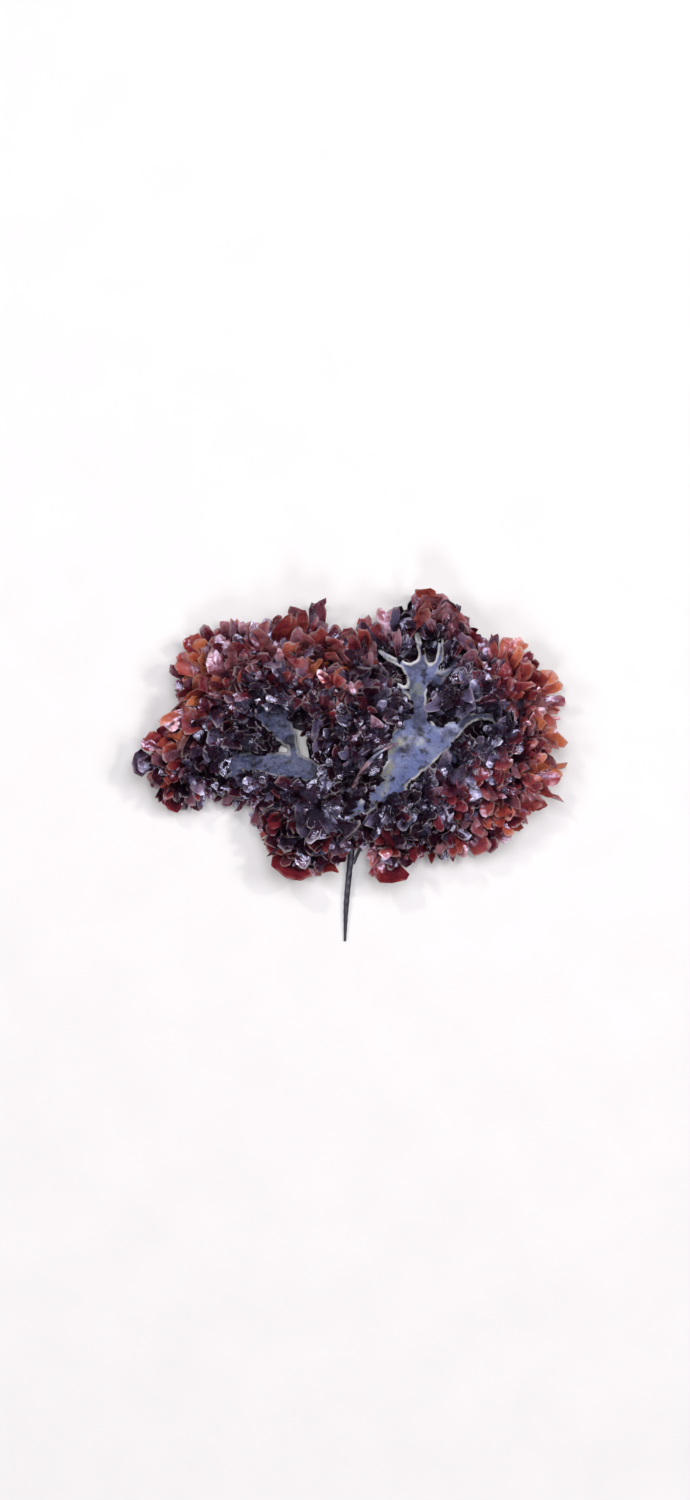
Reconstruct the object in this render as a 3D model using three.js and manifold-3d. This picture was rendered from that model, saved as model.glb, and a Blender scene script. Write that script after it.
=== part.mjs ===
// Irish moss, one picked frond lying on a flat surface. Millimetres, +Z up.
// A thin round stipe forks into flat blades, and each blade ends in tufts of ruffled fans.
// The frond is split at its main forks, so each blade and each tuft is a closed solid of its own.

import * as THREE from "three";
import { mergeVertices } from "three/addons/utils/BufferGeometryUtils.js";
import Module from "manifold-3d";

const wasm = await Module();
wasm.setup();

// Driving dimensions
const FORK_GAP = 0.3; // clearance where two branches meet
const FINEST_DETAIL = 0.06; // edges shorter than this are merged away
const STIPE_RADIUS = 1.1;
const STIPE_TIP_RADIUS = 0.45; // the torn lower end is drawn out thin
const BLADE_THICKNESS = 1.5;
const STALK_THICKNESS = 1.8;
const STALK_WIDTHS = [3.2, 4.2]; // at the fork and at the fans
const STALK_START_HEIGHT = 0.9; // tufts leave their blade a little above the surface
const STALK_SAG = 0.4;
const FAN_THICKNESS = 1.3; // in the middle of a fan; its rim is sharp

// A fan is a flat web that forks twice, into pairs of lobes. Radii are shares of its reach.
const FAN_CURL = THREE.MathUtils.degToRad(38);
const FAN_FORESHORTENING = 0.86; // how far a curled fan reaches in plan, against its own length
const SIDE_RADIUS = 0.34; // where the outermost lobes start
const PAIR_NOTCH = 0.52; // the deep forks, between pairs of lobes
const LOBE_NOTCH = 0.76; // the shallow forks, inside a pair
const TIP_CORNER = 0.55; // a lobe's two tip corners, as shares of its half width
const WEB_RADIUS = 0.56; // the ring of points that gives the web its thickness
const PAIR_LIFT = 0.34; // how far pairs and lobes lean out of the web, up and down in turn
const LOBE_LIFT = 0.5;
const FAN_CUP = 0.2; // both sides of the web rise
const TIP_VARIETY = 0.13;
const VARIETY_STEP = 2.4; // radians from one lobe's variety to the next

// The fans of one tuft stand one inside the other: turn from the tuft's line and rise above
// the surface in degrees, size against the tuft's reach, and the lobes over a spread in degrees
const OUTER_FANS = [
  { turn: 0, rise: 6, size: 1, lobes: 7, spread: 205 },
  { turn: 14, rise: 40, size: 0.85, lobes: 3, spread: 110 },
];
const UPPER_FANS = [
  { turn: 0, rise: 20, size: 1.1, lobes: 7, spread: 255 },
  { turn: -16, rise: 55, size: 0.9, lobes: 3, spread: 120 },
];
const UPPER_HEIGHT = 5; // tufts based above this height carry the upper fans
const RAISED_REACH = 17.5; // tufts with a shorter reach carry the low fan alone
const RAISED_STEP = 0.5; // the raised fan starts this much above the low one
const FAN_ROLL = 10; // degrees
const SEED_STEP = 1.7; // radians from one tuft's variety to the next

// Neighbouring tufts press against each other halfway between their middles
const MIDDLE_PLACE = 0.5; // a tuft's middle, from its base to its tip
const MIDDLE_RISE = 4; // and above its base
const HEIGHT_WEIGHT = 4; // height parts them more than distance does

// The stipe's line, from its torn end to the first fork
const STIPE_PATH = [
  [-1.4, -61, 0.45],
  [-0.9, -48, 1.1],
  [0.3, -35, 1.1],
  [2, -18.5, 1.1],
];

// A thin shoot leaves the stipe near its top and runs up beside it
const SHOOT_RADIUS = 0.5;
const SHOOT_PATH = [
  [1.5, -34, 0.5],
  [4, -29, 0.5],
  [7.5, -26, 0.8],
  [10.5, -25, 1.4],
];

// The blades in the order they fork, each by its line along the surface and its widths there
const BLADES = [
  {
    name: "right_main_blade",
    path: [[3, -17, 0], [8, -9.5, 0], [14.5, -3.8, 0], [22.8, 3.1, 0], [31, 9.5, 0]],
    widths: [4, 8, 11, 12, 9],
  },
  {
    name: "left_main_blade",
    path: [[1, -16, 0], [-7, -5.5, 0], [-16, -1, 0], [-27, 0.7, 0], [-38, 1.2, 0]],
    widths: [3.5, 6, 8, 8, 5.5],
  },
  {
    name: "right_upper_blade",
    path: [[27.5, 7, 0], [24.6, 17, 0], [23.8, 25, 0], [24.5, 34, 0]],
    widths: [9, 6, 5.5, 10],
  },
  {
    name: "right_outer_blade",
    path: [[29, 8.5, 0], [38, 13, 0], [46, 15.2, 0], [53, 14.5, 0]],
    widths: [7, 7, 8, 6],
  },
  {
    name: "right_lower_blade",
    path: [[14, -4, 0], [19, -13, 0], [25, -20, 0]],
    widths: [7, 6, 6],
  },
  {
    name: "left_upper_blade",
    path: [[-19, 0, 0], [-19.7, 7.2, 0], [-23.8, 13.1, 0], [-29, 21, 0]],
    widths: [3, 3.4, 8, 8],
  },
  {
    name: "left_outer_blade",
    path: [[-36, 1, 0], [-45, 0.2, 0], [-54, 1.5, 0]],
    widths: [5.5, 5.5, 5],
  },
  {
    name: "left_lower_blade",
    path: [[0, -15.5, 0], [-8, -19.5, 0], [-16, -25, 0]],
    widths: [4, 5, 6],
  },
  {
    name: "middle_blade",
    path: [[2.5, -16.5, 0], [1.5, -2, 0], [3, 14, 0]],
    widths: [3, 5, 6],
  },
];

// The tufts: where the stalk leaves its blade, where the fans start, and where they reach to
const TUFTS = [
  { name: "left_top_tuft_1", from: [-30, 20], base: [-39, 27, 2.6], tip: [-62, 41] },
  { name: "left_top_tuft_2", from: [-30, 22], base: [-36, 32, 2.8], tip: [-45, 50] },
  { name: "left_top_tuft_3", from: [-28, 22], base: [-27, 32, 2.8], tip: [-29, 51] },
  { name: "left_top_tuft_4", from: [-26, 21], base: [-17, 32, 2.8], tip: [-11, 57] },
  { name: "left_top_tuft_5", from: [-29, 18], base: [-42, 17, 2.8], tip: [-60, 23] },
  { name: "left_top_tuft_6", from: [-28, 18], base: [-34, 21, 8], tip: [-47, 31] },
  { name: "left_top_tuft_7", from: [-27, 20], base: [-26, 25, 9], tip: [-30, 41] },
  { name: "left_top_tuft_8", from: [-25, 17], base: [-16, 22, 8], tip: [-8, 37] },
  { name: "left_side_tuft_1", from: [-53, 1.5], base: [-57, 1, 2.4], tip: [-75, -1] },
  { name: "left_side_tuft_2", from: [-46, 1], base: [-49, 7, 2.8], tip: [-67, 12] },
  { name: "left_side_tuft_3", from: [-47, 0], base: [-51, -3, 2.4], tip: [-64, -14] },
  { name: "left_side_tuft_4", from: [-40, 2], base: [-40, 7, 7], tip: [-51, 15] },
  { name: "left_low_tuft_1", from: [-37, 0], base: [-37, -4, 2.6], tip: [-43, -15] },
  { name: "left_low_tuft_2", from: [-25, -2], base: [-25, -7, 2.6], tip: [-32, -20] },
  { name: "left_low_tuft_3", from: [-13, -23], base: [-15, -25, 2.4], tip: [-24, -39] },
  { name: "left_low_tuft_4", from: [-7, -20], base: [-7, -24.4, 2.4], tip: [-11, -39] },
  { name: "left_low_tuft_5", from: [-8, -18], base: [-11, -15, 6], tip: [-21, -27] },
  { name: "left_low_tuft_6", from: [-11, -21.5], base: [-19, -19, 2.6], tip: [-31, -27] },
  { name: "middle_tuft_1", from: [3, 13], base: [-1, 22, 3], tip: [-5, 46] },
  { name: "middle_tuft_2", from: [3, 13], base: [7, 28, 3], tip: [6, 53] },
  { name: "middle_tuft_3", from: [2, 8], base: [-4, 13, 7], tip: [-10, 28] },
  { name: "middle_tuft_4", from: [3, 10], base: [8, 16, 7], tip: [14, 31] },
  { name: "middle_tuft_5", from: [2, 0], base: [-3, 2, 6], tip: [-12, 9] },
  { name: "middle_tuft_6", from: [2, 2], base: [8, 4, 6], tip: [15, 14] },
  { name: "right_top_tuft_1", from: [21, 33], base: [17, 37, 2.8], tip: [14, 55] },
  { name: "right_top_tuft_2", from: [25, 34], base: [31, 46, 2.8], tip: [31, 63] },
  { name: "right_top_tuft_3", from: [28, 33], base: [36, 37, 2.8], tip: [44, 53] },
  { name: "right_top_tuft_4", from: [27, 29], base: [33, 29, 8], tip: [45, 38] },
  { name: "right_top_tuft_5", from: [23, 20], base: [19, 21, 3], tip: [9, 25] },
  { name: "right_top_tuft_6", from: [26, 18], base: [33, 19, 3], tip: [40, 27] },
  { name: "right_side_tuft_1", from: [46, 17], base: [49, 26, 2.8], tip: [61, 46] },
  { name: "right_side_tuft_2", from: [51, 16], base: [57, 19, 2.8], tip: [74, 30] },
  { name: "right_side_tuft_3", from: [53, 14], base: [59, 9, 2.8], tip: [75, 9] },
  { name: "right_side_tuft_4", from: [50, 12], base: [57, -2, 2.8], tip: [74, -9] },
  { name: "right_side_tuft_5", from: [45, 17], base: [44, 22, 8], tip: [54, 34] },
  { name: "right_side_tuft_6", from: [48, 12], base: [52, 8, 8], tip: [65, 4] },
  { name: "right_low_tuft_1", from: [31, 6], base: [48, -9, 3], tip: [62, -22] },
  { name: "right_low_tuft_2", from: [24, -18], base: [36, -17, 2.8], tip: [49, -31] },
  { name: "right_low_tuft_3", from: [25, -19], base: [26, -21, 2.6], tip: [32, -34] },
  { name: "right_low_tuft_4", from: [20, -14], base: [13, -22, 2.6], tip: [14, -42] },
  { name: "right_low_tuft_5", from: [32, 6], base: [39, 0, 6], tip: [53, -6] },
  { name: "right_low_tuft_6", from: [19, -12], base: [26, -10, 7], tip: [39, -15] },
  { name: "right_low_tuft_7", from: [17, -9], base: [13, -13, 6], tip: [14, -27] },
];

// Colours of the wet frond
const STIPE_COLOUR = 0x2a2026;
const BLADE_COLOUR = 0x6f7390;
const TUFT_COLOUR = 0x6e2c2a;
const WET_ROUGHNESS = 0.25;

const UP = new THREE.Vector3(0, 0, 1);
const point = ([x, y, z]) => new THREE.Vector3(x, y, z);
const lineThrough = (points) => new THREE.CatmullRomCurve3(points.map(point));

// A value between the entries of a list, by a share of its length
function along(list, share) {
  const place = share * (list.length - 1);
  const step = Math.min(Math.floor(place), list.length - 2);
  return THREE.MathUtils.lerp(list[step], list[step + 1], place - step);
}

// A geometry from points and faces, which list their corners counter-clockwise seen from outside
function closedGeometry(points, faces) {
  return new THREE.BufferGeometry().setFromPoints(points).setIndex(faces.flat());
}

// A solid swept along a curve. sectionAt gives its outline at a share of the length,
// as [right, up] pairs counter-clockwise with right to the right and up upwards.
function sweep(curve, steps, sectionAt) {
  const points = [];
  const faces = [];
  const sides = sectionAt(0).length;
  for (let step = 0; step <= steps; step++) {
    const share = step / steps;
    const centre = curve.getPoint(share);
    const right = curve.getTangent(share).cross(UP).normalize();
    for (const [across, up] of sectionAt(share)) {
      points.push(centre.clone().addScaledVector(right, across).addScaledVector(UP, up));
    }
  }
  for (let step = 0; step < steps; step++) {
    for (let side = 0; side < sides; side++) {
      const next = (side + 1) % sides;
      const here = step * sides;
      const ahead = here + sides;
      faces.push([here + side, ahead + side, ahead + next]);
      faces.push([here + side, ahead + next, here + next]);
    }
  }
  const last = steps * sides;
  for (let side = 1; side < sides - 1; side++) {
    faces.push([0, side, side + 1]);
    faces.push([last, last + side + 1, last + side]);
  }
  return closedGeometry(points, faces);
}

// A round branch, with its radii along its line
function roundGeometry(path, radii, sides, grow) {
  return sweep(lineThrough(path), path.length + 1, (share) => {
    const radius = along(radii, share) + grow;
    return Array.from({ length: sides }, (_, side) => {
      const angle = ((side + 0.5) / sides) * 2 * Math.PI;
      return [radius * Math.cos(angle), radius * Math.sin(angle)];
    });
  });
}

// A blade lies on its flat underside, and its edges slope in towards the top
function ribbonGeometry(line, widths, thickness, steps, grow) {
  const edgeSlope = 0.4 * thickness;
  return sweep(line, steps, (share) => {
    const half = along(widths, share) / 2 + grow;
    return [
      [-half, -grow],
      [half, -grow],
      [half - edgeSlope, thickness + grow],
      [edgeSlope - half, thickness + grow],
    ];
  });
}

// The notch at a fork of a fan, as a share of its reach: forks are numbered across it from one side
function notchRadius(fan, fork) {
  if (fork === 0 || fork === fan.lobes) return SIDE_RADIUS;
  return fork % 2 ? LOBE_NOTCH : PAIR_NOTCH;
}

// The fan's outline radius at a place in a lobe, from -1 to 1 across it
function outlineRadius(fan, lobe, place) {
  const notch = notchRadius(fan, place < 0 ? lobe : lobe + 1);
  const tip = 1 - TIP_VARIETY + TIP_VARIETY * Math.sin(VARIETY_STEP * lobe + fan.seed);
  return notch + (tip - notch) * Math.sqrt(1 - Math.abs(place) ** 3);
}

// A point of a fan's middle surface: radius is a share of the reach, and place runs from -1 to 1 across the lobe
function fanPoint(fan, lobe, place, radius) {
  const across = (lobe + (place + 1) / 2) / fan.lobes;
  const angle = (across - 0.5) * fan.spread;
  const bend = FAN_CURL * radius;
  const run = Math.sin(bend) / FAN_CURL;
  const pairSide = Math.floor(lobe / 2) % 2 ? -1 : 1;
  const lobeSide = lobe % 2 ? -1 : 1;
  const lift =
    (1 - Math.cos(bend)) / FAN_CURL +
    PAIR_LIFT * pairSide * Math.max(0, radius - PAIR_NOTCH) ** 2 +
    LOBE_LIFT * lobeSide * Math.max(0, radius - LOBE_NOTCH) +
    FAN_CUP * (2 * across - 1) ** 2 * radius ** 2;
  return fan.base
    .clone()
    .addScaledVector(fan.forward, fan.reach * run * Math.cos(angle))
    .addScaledVector(fan.side, fan.reach * run * Math.sin(angle))
    .addScaledVector(fan.normal, fan.reach * lift);
}

// A fan is thick in its web and sharp at its rim. Each lobe has two tip corners and shares its notches.
function fanGeometry(fan) {
  const half = FAN_THICKNESS / 2;
  const rim = [];
  const tops = [];
  const undersides = [];
  const addWeb = (lobe, radius) => {
    const web = fanPoint(fan, lobe, 0, radius);
    tops.push(web.clone().addScaledVector(fan.normal, half));
    undersides.push(web.clone().addScaledVector(fan.normal, -half));
  };
  for (let lobe = 0; lobe < fan.lobes; lobe++) {
    for (const place of [-1, -TIP_CORNER, TIP_CORNER]) {
      rim.push(fanPoint(fan, lobe, place, outlineRadius(fan, lobe, place)));
    }
    addWeb(lobe, WEB_RADIUS);
  }
  rim.push(fanPoint(fan, fan.lobes - 1, 1, SIDE_RADIUS));
  addWeb((fan.lobes - 1) / 2, 0);

  const faces = [];
  const top = (index) => rim.length + index;
  const underside = (index) => rim.length + tops.length + index;
  const bothSides = (...corners) => {
    faces.push(corners.map(([kind, index]) => (kind === "rim" ? index : top(index))));
    faces.push(corners.map(([kind, index]) => (kind === "rim" ? index : underside(index))).reverse());
  };
  const root = ["web", fan.lobes];
  for (let lobe = 0; lobe < fan.lobes; lobe++) {
    for (let corner = 3 * lobe; corner < 3 * lobe + 3; corner++) {
      bothSides(["web", lobe], ["rim", corner], ["rim", corner + 1]);
    }
    if (lobe < fan.lobes - 1) {
      bothSides(["web", lobe], ["rim", 3 * lobe + 3], ["web", lobe + 1]);
      bothSides(root, ["web", lobe], ["web", lobe + 1]);
    }
  }
  bothSides(root, ["rim", 0], ["web", 0]);
  bothSides(root, ["web", fan.lobes - 1], ["rim", 3 * fan.lobes]);
  faces.push([0, top(fan.lobes), underside(fan.lobes)]);
  faces.push([top(fan.lobes), 3 * fan.lobes, underside(fan.lobes)]);
  return closedGeometry([...rim, ...tops, ...undersides], faces);
}

// A tuft's middle, from which its room is measured
function middleOf({ base: [baseX, baseY, baseZ], tip: [tipX, tipY] }) {
  const { lerp } = THREE.MathUtils;
  return point([lerp(baseX, tipX, MIDDLE_PLACE), lerp(baseY, tipY, MIDDLE_PLACE), baseZ + MIDDLE_RISE]);
}

// The room of a tuft: the surface below it, and a wall halfway to each other tuft
function roomOf(tuft) {
  const middle = middleOf(tuft);
  const walls = TUFTS.filter((other) => other !== tuft).map((other) => {
    const away = middleOf(other).sub(middle);
    const normal = away.clone().setZ(HEIGHT_WEIGHT * away.z).normalize();
    return { normal, distance: away.dot(normal) / 2 - FORK_GAP / 2 };
  });
  walls.push({ normal: UP.clone().negate(), distance: middle.z });
  return { middle, walls };
}

// What of a tuft lies in its room
function trimmedTo({ middle, walls }, solid) {
  return walls.reduce((kept, { normal, distance }) => {
    const inward = normal.clone().negate();
    return kept.trimByPlane(inward.toArray(), inward.dot(middle) - distance);
  }, solid);
}

// A stalk rises in a shallow sag from its blade to the fans
function stalkLine({ from: [fromX, fromY], base }) {
  const [baseX, baseY, baseZ] = base;
  const middle = [(fromX + baseX) / 2, (fromY + baseY) / 2, (STALK_START_HEIGHT + baseZ) / 2 - STALK_SAG];
  return lineThrough([[fromX, fromY, STALK_START_HEIGHT], middle, base]);
}

// The fans of a tuft, each with its own forward, side and normal directions
function fansOf({ base, tip: [tipX, tipY] }, index) {
  const [baseX, baseY, baseZ] = base;
  const heading = Math.atan2(tipY - baseY, tipX - baseX);
  const reach = Math.hypot(tipX - baseX, tipY - baseY) / FAN_FORESHORTENING;
  const kinds = (baseZ > UPPER_HEIGHT ? UPPER_FANS : OUTER_FANS).slice(0, reach < RAISED_REACH ? 1 : 2);
  const root = point(base).addScaledVector(UP, STALK_THICKNESS / 3);
  return kinds.map((kind, order) => {
    const seed = SEED_STEP * (index + order / kinds.length);
    const rise = THREE.MathUtils.degToRad(kind.rise);
    const turn = heading + THREE.MathUtils.degToRad(kind.turn);
    const roll = THREE.MathUtils.degToRad(FAN_ROLL * Math.sin(3 * seed));
    const level = new THREE.Vector3(Math.cos(turn), Math.sin(turn), 0);
    const forward = level.clone().multiplyScalar(Math.cos(rise)).addScaledVector(UP, Math.sin(rise));
    const normal = level.multiplyScalar(-Math.sin(rise)).addScaledVector(UP, Math.cos(rise));
    normal.applyAxisAngle(forward, roll);
    const side = new THREE.Vector3().crossVectors(normal, forward);
    const spread = THREE.MathUtils.degToRad(kind.spread);
    const start = root.clone().addScaledVector(UP, order * RAISED_STEP);
    return { base: start, forward, side, normal, reach: reach * kind.size, lobes: kind.lobes, spread, seed };
  });
}

// A geometry as a solid that can be joined and cut
function solidOf(geometry) {
  const bare = geometry.clone().deleteAttribute("normal").deleteAttribute("uv");
  const merged = mergeVertices(bare);
  return new wasm.Manifold(
    new wasm.Mesh({
      numProp: 3,
      vertProperties: merged.attributes.position.array,
      triVerts: new Uint32Array(merged.index.array),
    }),
  );
}

function geometryOf(solid) {
  const mesh = solid.getMesh();
  return new THREE.BufferGeometry()
    .setAttribute("position", new THREE.BufferAttribute(mesh.vertProperties, 3))
    .setIndex(new THREE.BufferAttribute(mesh.triVerts, 1));
}

const overlaps = (a, b) => a.min.every((low, axis) => low < b.max[axis] && b.min[axis] < a.max[axis]);
const largestBody = (solid) => solid.decompose().sort((a, b) => b.volume() - a.volume())[0];

// A solid cut clear of others
function clearOf(solid, others) {
  const near = others.filter((other) => overlaps(other.boundingBox(), solid.boundingBox()));
  return near.reduce((left, other) => left.subtract(other), solid);
}

const frond = new THREE.Group();
function addBranch(name, solid, colour) {
  const material = new THREE.MeshStandardMaterial({ color: colour, roughness: WET_ROUGHNESS, metalness: 0 });
  const mesh = new THREE.Mesh(geometryOf(largestBody(solid.simplify(FINEST_DETAIL))), material);
  mesh.name = name;
  frond.add(mesh);
}

// The stipe, its shoot and the blades, each cut clear of what it forks from, which leaves the gap where they meet
const STIPE_RADII = [STIPE_TIP_RADIUS, STIPE_RADIUS, STIPE_RADIUS, STIPE_RADIUS];
const stipeSolid = (grow) => solidOf(roundGeometry(STIPE_PATH, STIPE_RADII, 8, grow));
const shootSolid = (grow) => solidOf(roundGeometry(SHOOT_PATH, [SHOOT_RADIUS, SHOOT_RADIUS], 6, grow));
addBranch("stipe", stipeSolid(0), STIPE_COLOUR);
const lowerBranches = [stipeSolid(FORK_GAP)];
addBranch("stipe_side_shoot", clearOf(shootSolid(0), lowerBranches), STIPE_COLOUR);
lowerBranches.push(shootSolid(FORK_GAP));
for (const { name, path, widths } of BLADES) {
  const line = lineThrough(path);
  const bladeSolid = (grow) => solidOf(ribbonGeometry(line, widths, BLADE_THICKNESS, 2 * (path.length - 1), grow));
  addBranch(name, clearOf(bladeSolid(0), lowerBranches), BLADE_COLOUR);
  lowerBranches.push(bladeSolid(FORK_GAP));
}

// Each tuft: its fans joined to its stalk, cut clear of the blades and of the other stalks
const stalkSolid = (tuft, grow) => solidOf(ribbonGeometry(stalkLine(tuft), STALK_WIDTHS, STALK_THICKNESS, 2, grow));
const stalkRooms = TUFTS.map((tuft) => stalkSolid(tuft, FORK_GAP));
TUFTS.forEach((tuft, index) => {
  const room = roomOf(tuft);
  const [lowFan, ...raisedFans] = fansOf(tuft, index).map((fan) => solidOf(fanGeometry(fan)));
  const fans = trimmedTo(room, raisedFans.reduce((joined, fan) => joined.add(fan), lowFan));
  const otherStalks = stalkRooms.filter((_, other) => other !== index);
  const stalk = clearOf(stalkSolid(tuft, 0), stalkRooms.slice(0, index));
  const grown = clearOf(fans, otherStalks).add(stalk);
  addBranch(tuft.name, clearOf(grown, lowerBranches), TUFT_COLOUR);
});

// The origin is on the surface, under the middle of the frond
const middle = new THREE.Box3().setFromObject(frond).getCenter(new THREE.Vector3());
frond.position.set(-middle.x, -middle.y, 0);

export default frond;
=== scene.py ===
# %% [markdown]
# # Irish moss, a picked frond lying on a pale surface
# The real frond is one piece of wet, leathery seaweed. A thin stalk, the stipe, forks into flat
# blades, and every blade ends in tufts of ruffled fans. Each fan forks twice, into rounded lobes.
# This lesson builds it in that order of growth: one rule for the fans, which repeat hundreds of
# times, one field for the blades, which melt into each other at their forks, and tubes for the rest.

# %% Load the frame and keep its box
import math

import bpy
import numpy as np
from mathutils import Matrix, Vector


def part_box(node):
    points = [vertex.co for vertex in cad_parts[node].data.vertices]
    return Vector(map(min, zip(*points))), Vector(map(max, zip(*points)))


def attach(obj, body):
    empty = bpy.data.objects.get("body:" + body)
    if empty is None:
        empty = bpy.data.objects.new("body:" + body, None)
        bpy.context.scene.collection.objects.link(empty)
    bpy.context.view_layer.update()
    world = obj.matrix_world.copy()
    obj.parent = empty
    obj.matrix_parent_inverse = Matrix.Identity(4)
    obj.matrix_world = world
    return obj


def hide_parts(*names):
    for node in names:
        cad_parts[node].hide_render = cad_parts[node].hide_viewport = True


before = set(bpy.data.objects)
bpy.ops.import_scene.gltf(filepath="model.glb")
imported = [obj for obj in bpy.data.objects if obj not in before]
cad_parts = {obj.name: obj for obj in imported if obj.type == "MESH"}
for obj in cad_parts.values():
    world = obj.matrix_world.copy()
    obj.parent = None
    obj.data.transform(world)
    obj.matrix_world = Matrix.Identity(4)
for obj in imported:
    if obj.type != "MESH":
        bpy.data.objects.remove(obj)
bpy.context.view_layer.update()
MM = 0.001
print("solids:", len(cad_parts))

# %% [markdown]
# ## The plan
# All places below are millimetres on a plan seen from above, with the stipe's lower end at a known
# point. The solids were centred afterwards, so the stipe's own box tells how far the plan moved.

# %% Where the plan lies in the frame
STIPE_TIP = (-1.4, -61.0)
STIPE_TIP_HALF = 0.416
stipe_low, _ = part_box("stipe")
plan_shift = Vector((
    stipe_low[0] - (STIPE_TIP[0] - STIPE_TIP_HALF) * MM,
    stipe_low[1] - STIPE_TIP[1] * MM,
    0.0,
))


def on_plan(x, y, z=0.0):
    """A point of the plan, in metres in the frame."""
    return Vector((x, y, z)) * MM + plan_shift


print("plan moved by mm:", [round(v / MM, 2) for v in plan_shift])

# %% [markdown]
# ## The tufts
# A tuft is an end branch: a short stalk that leaves its blade, and fans that spread from the stalk's
# end. Each row gives the stalk's start, the place and height where its fans start, and where they
# reach to. The rows are grouped by the branch they grow on, and each group becomes one piece.

# %% The rows of the tufts
TUFTS = {
    "left_top": [
        ((-30, 20), (-39, 27, 2.6), (-62, 41)),
        ((-30, 22), (-36, 32, 2.8), (-45, 50)),
        ((-28, 22), (-27, 32, 2.8), (-29, 51)),
        ((-26, 21), (-17, 32, 2.8), (-11, 57)),
        ((-29, 18), (-42, 17, 2.8), (-60, 23)),
        ((-28, 18), (-34, 21, 8.0), (-47, 31)),
        ((-27, 20), (-26, 25, 9.0), (-30, 41)),
        ((-25, 17), (-16, 22, 8.0), (-8, 37)),
    ],
    "left_side": [
        ((-53, 1.5), (-57, 1, 2.4), (-75, -1)),
        ((-46, 1), (-49, 7, 2.8), (-67, 12)),
        ((-47, 0), (-51, -3, 2.4), (-64, -14)),
        ((-40, 2), (-40, 7, 7.0), (-51, 15)),
    ],
    "left_low": [
        ((-37, 0), (-37, -4, 2.6), (-43, -15)),
        ((-25, -2), (-25, -7, 2.6), (-32, -20)),
        ((-13, -23), (-15, -25, 2.4), (-24, -39)),
        ((-7, -20), (-7, -24, 2.4), (-11, -39)),
        ((-8, -18), (-11, -15, 6.0), (-21, -27)),
        ((-11, -21.5), (-19, -19, 2.6), (-31, -27)),
    ],
    "middle": [
        ((3, 13), (-1, 22, 3.0), (-5, 46)),
        ((3, 13), (7, 28, 3.0), (6, 53)),
        ((2, 8), (-4, 13, 7.0), (-10, 28)),
        ((3, 10), (8, 16, 7.0), (14, 31)),
        ((2, 0), (-3, 2, 6.0), (-12, 9)),
        ((2, 2), (8, 4, 6.0), (15, 14)),
    ],
    "right_top": [
        ((21, 33), (17, 37, 2.8), (14, 55)),
        ((25, 34), (31, 46, 2.8), (31, 63)),
        ((28, 33), (36, 37, 2.8), (44, 53)),
        ((27, 29), (33, 29, 8.0), (45, 38)),
        ((23, 20), (19, 21, 3.0), (9, 25)),
        ((26, 18), (33, 19, 3.0), (40, 27)),
    ],
    "right_side": [
        ((46, 17), (49, 26, 2.8), (61, 46)),
        ((51, 16), (57, 19, 2.8), (74, 30)),
        ((53, 14), (59, 9, 2.8), (75, 9)),
        ((50, 12), (57, -2, 2.8), (74, -9)),
        ((45, 17), (44, 22, 8.0), (54, 34)),
        ((48, 12), (52, 8, 8.0), (65, 4)),
    ],
    "right_low": [
        ((31, 6), (48, -9, 3.0), (62, -22)),
        ((24, -18), (36, -17, 2.8), (49, -31)),
        ((25, -19), (26, -21, 2.6), (32, -34)),
        ((20, -14), (13, -22, 2.6), (14, -42)),
        ((32, 6), (39, 0, 6.0), (53, -6)),
        ((19, -12), (26, -10, 7.0), (39, -15)),
        ((17, -9), (13, -13, 6.0), (14, -27)),
    ],
}
print("tufts:", {group: len(rows) for group, rows in TUFTS.items()})

# %% [markdown]
# ## Writing node trees as sums
# A fan's shape and a wet surface are both formulas, so both are easier to read as arithmetic than as
# a wall of nodes. A small class wraps one output socket. Adding or multiplying it adds a Math node,
# and one method makes every other kind of node. The same class serves geometry and shader trees.


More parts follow.
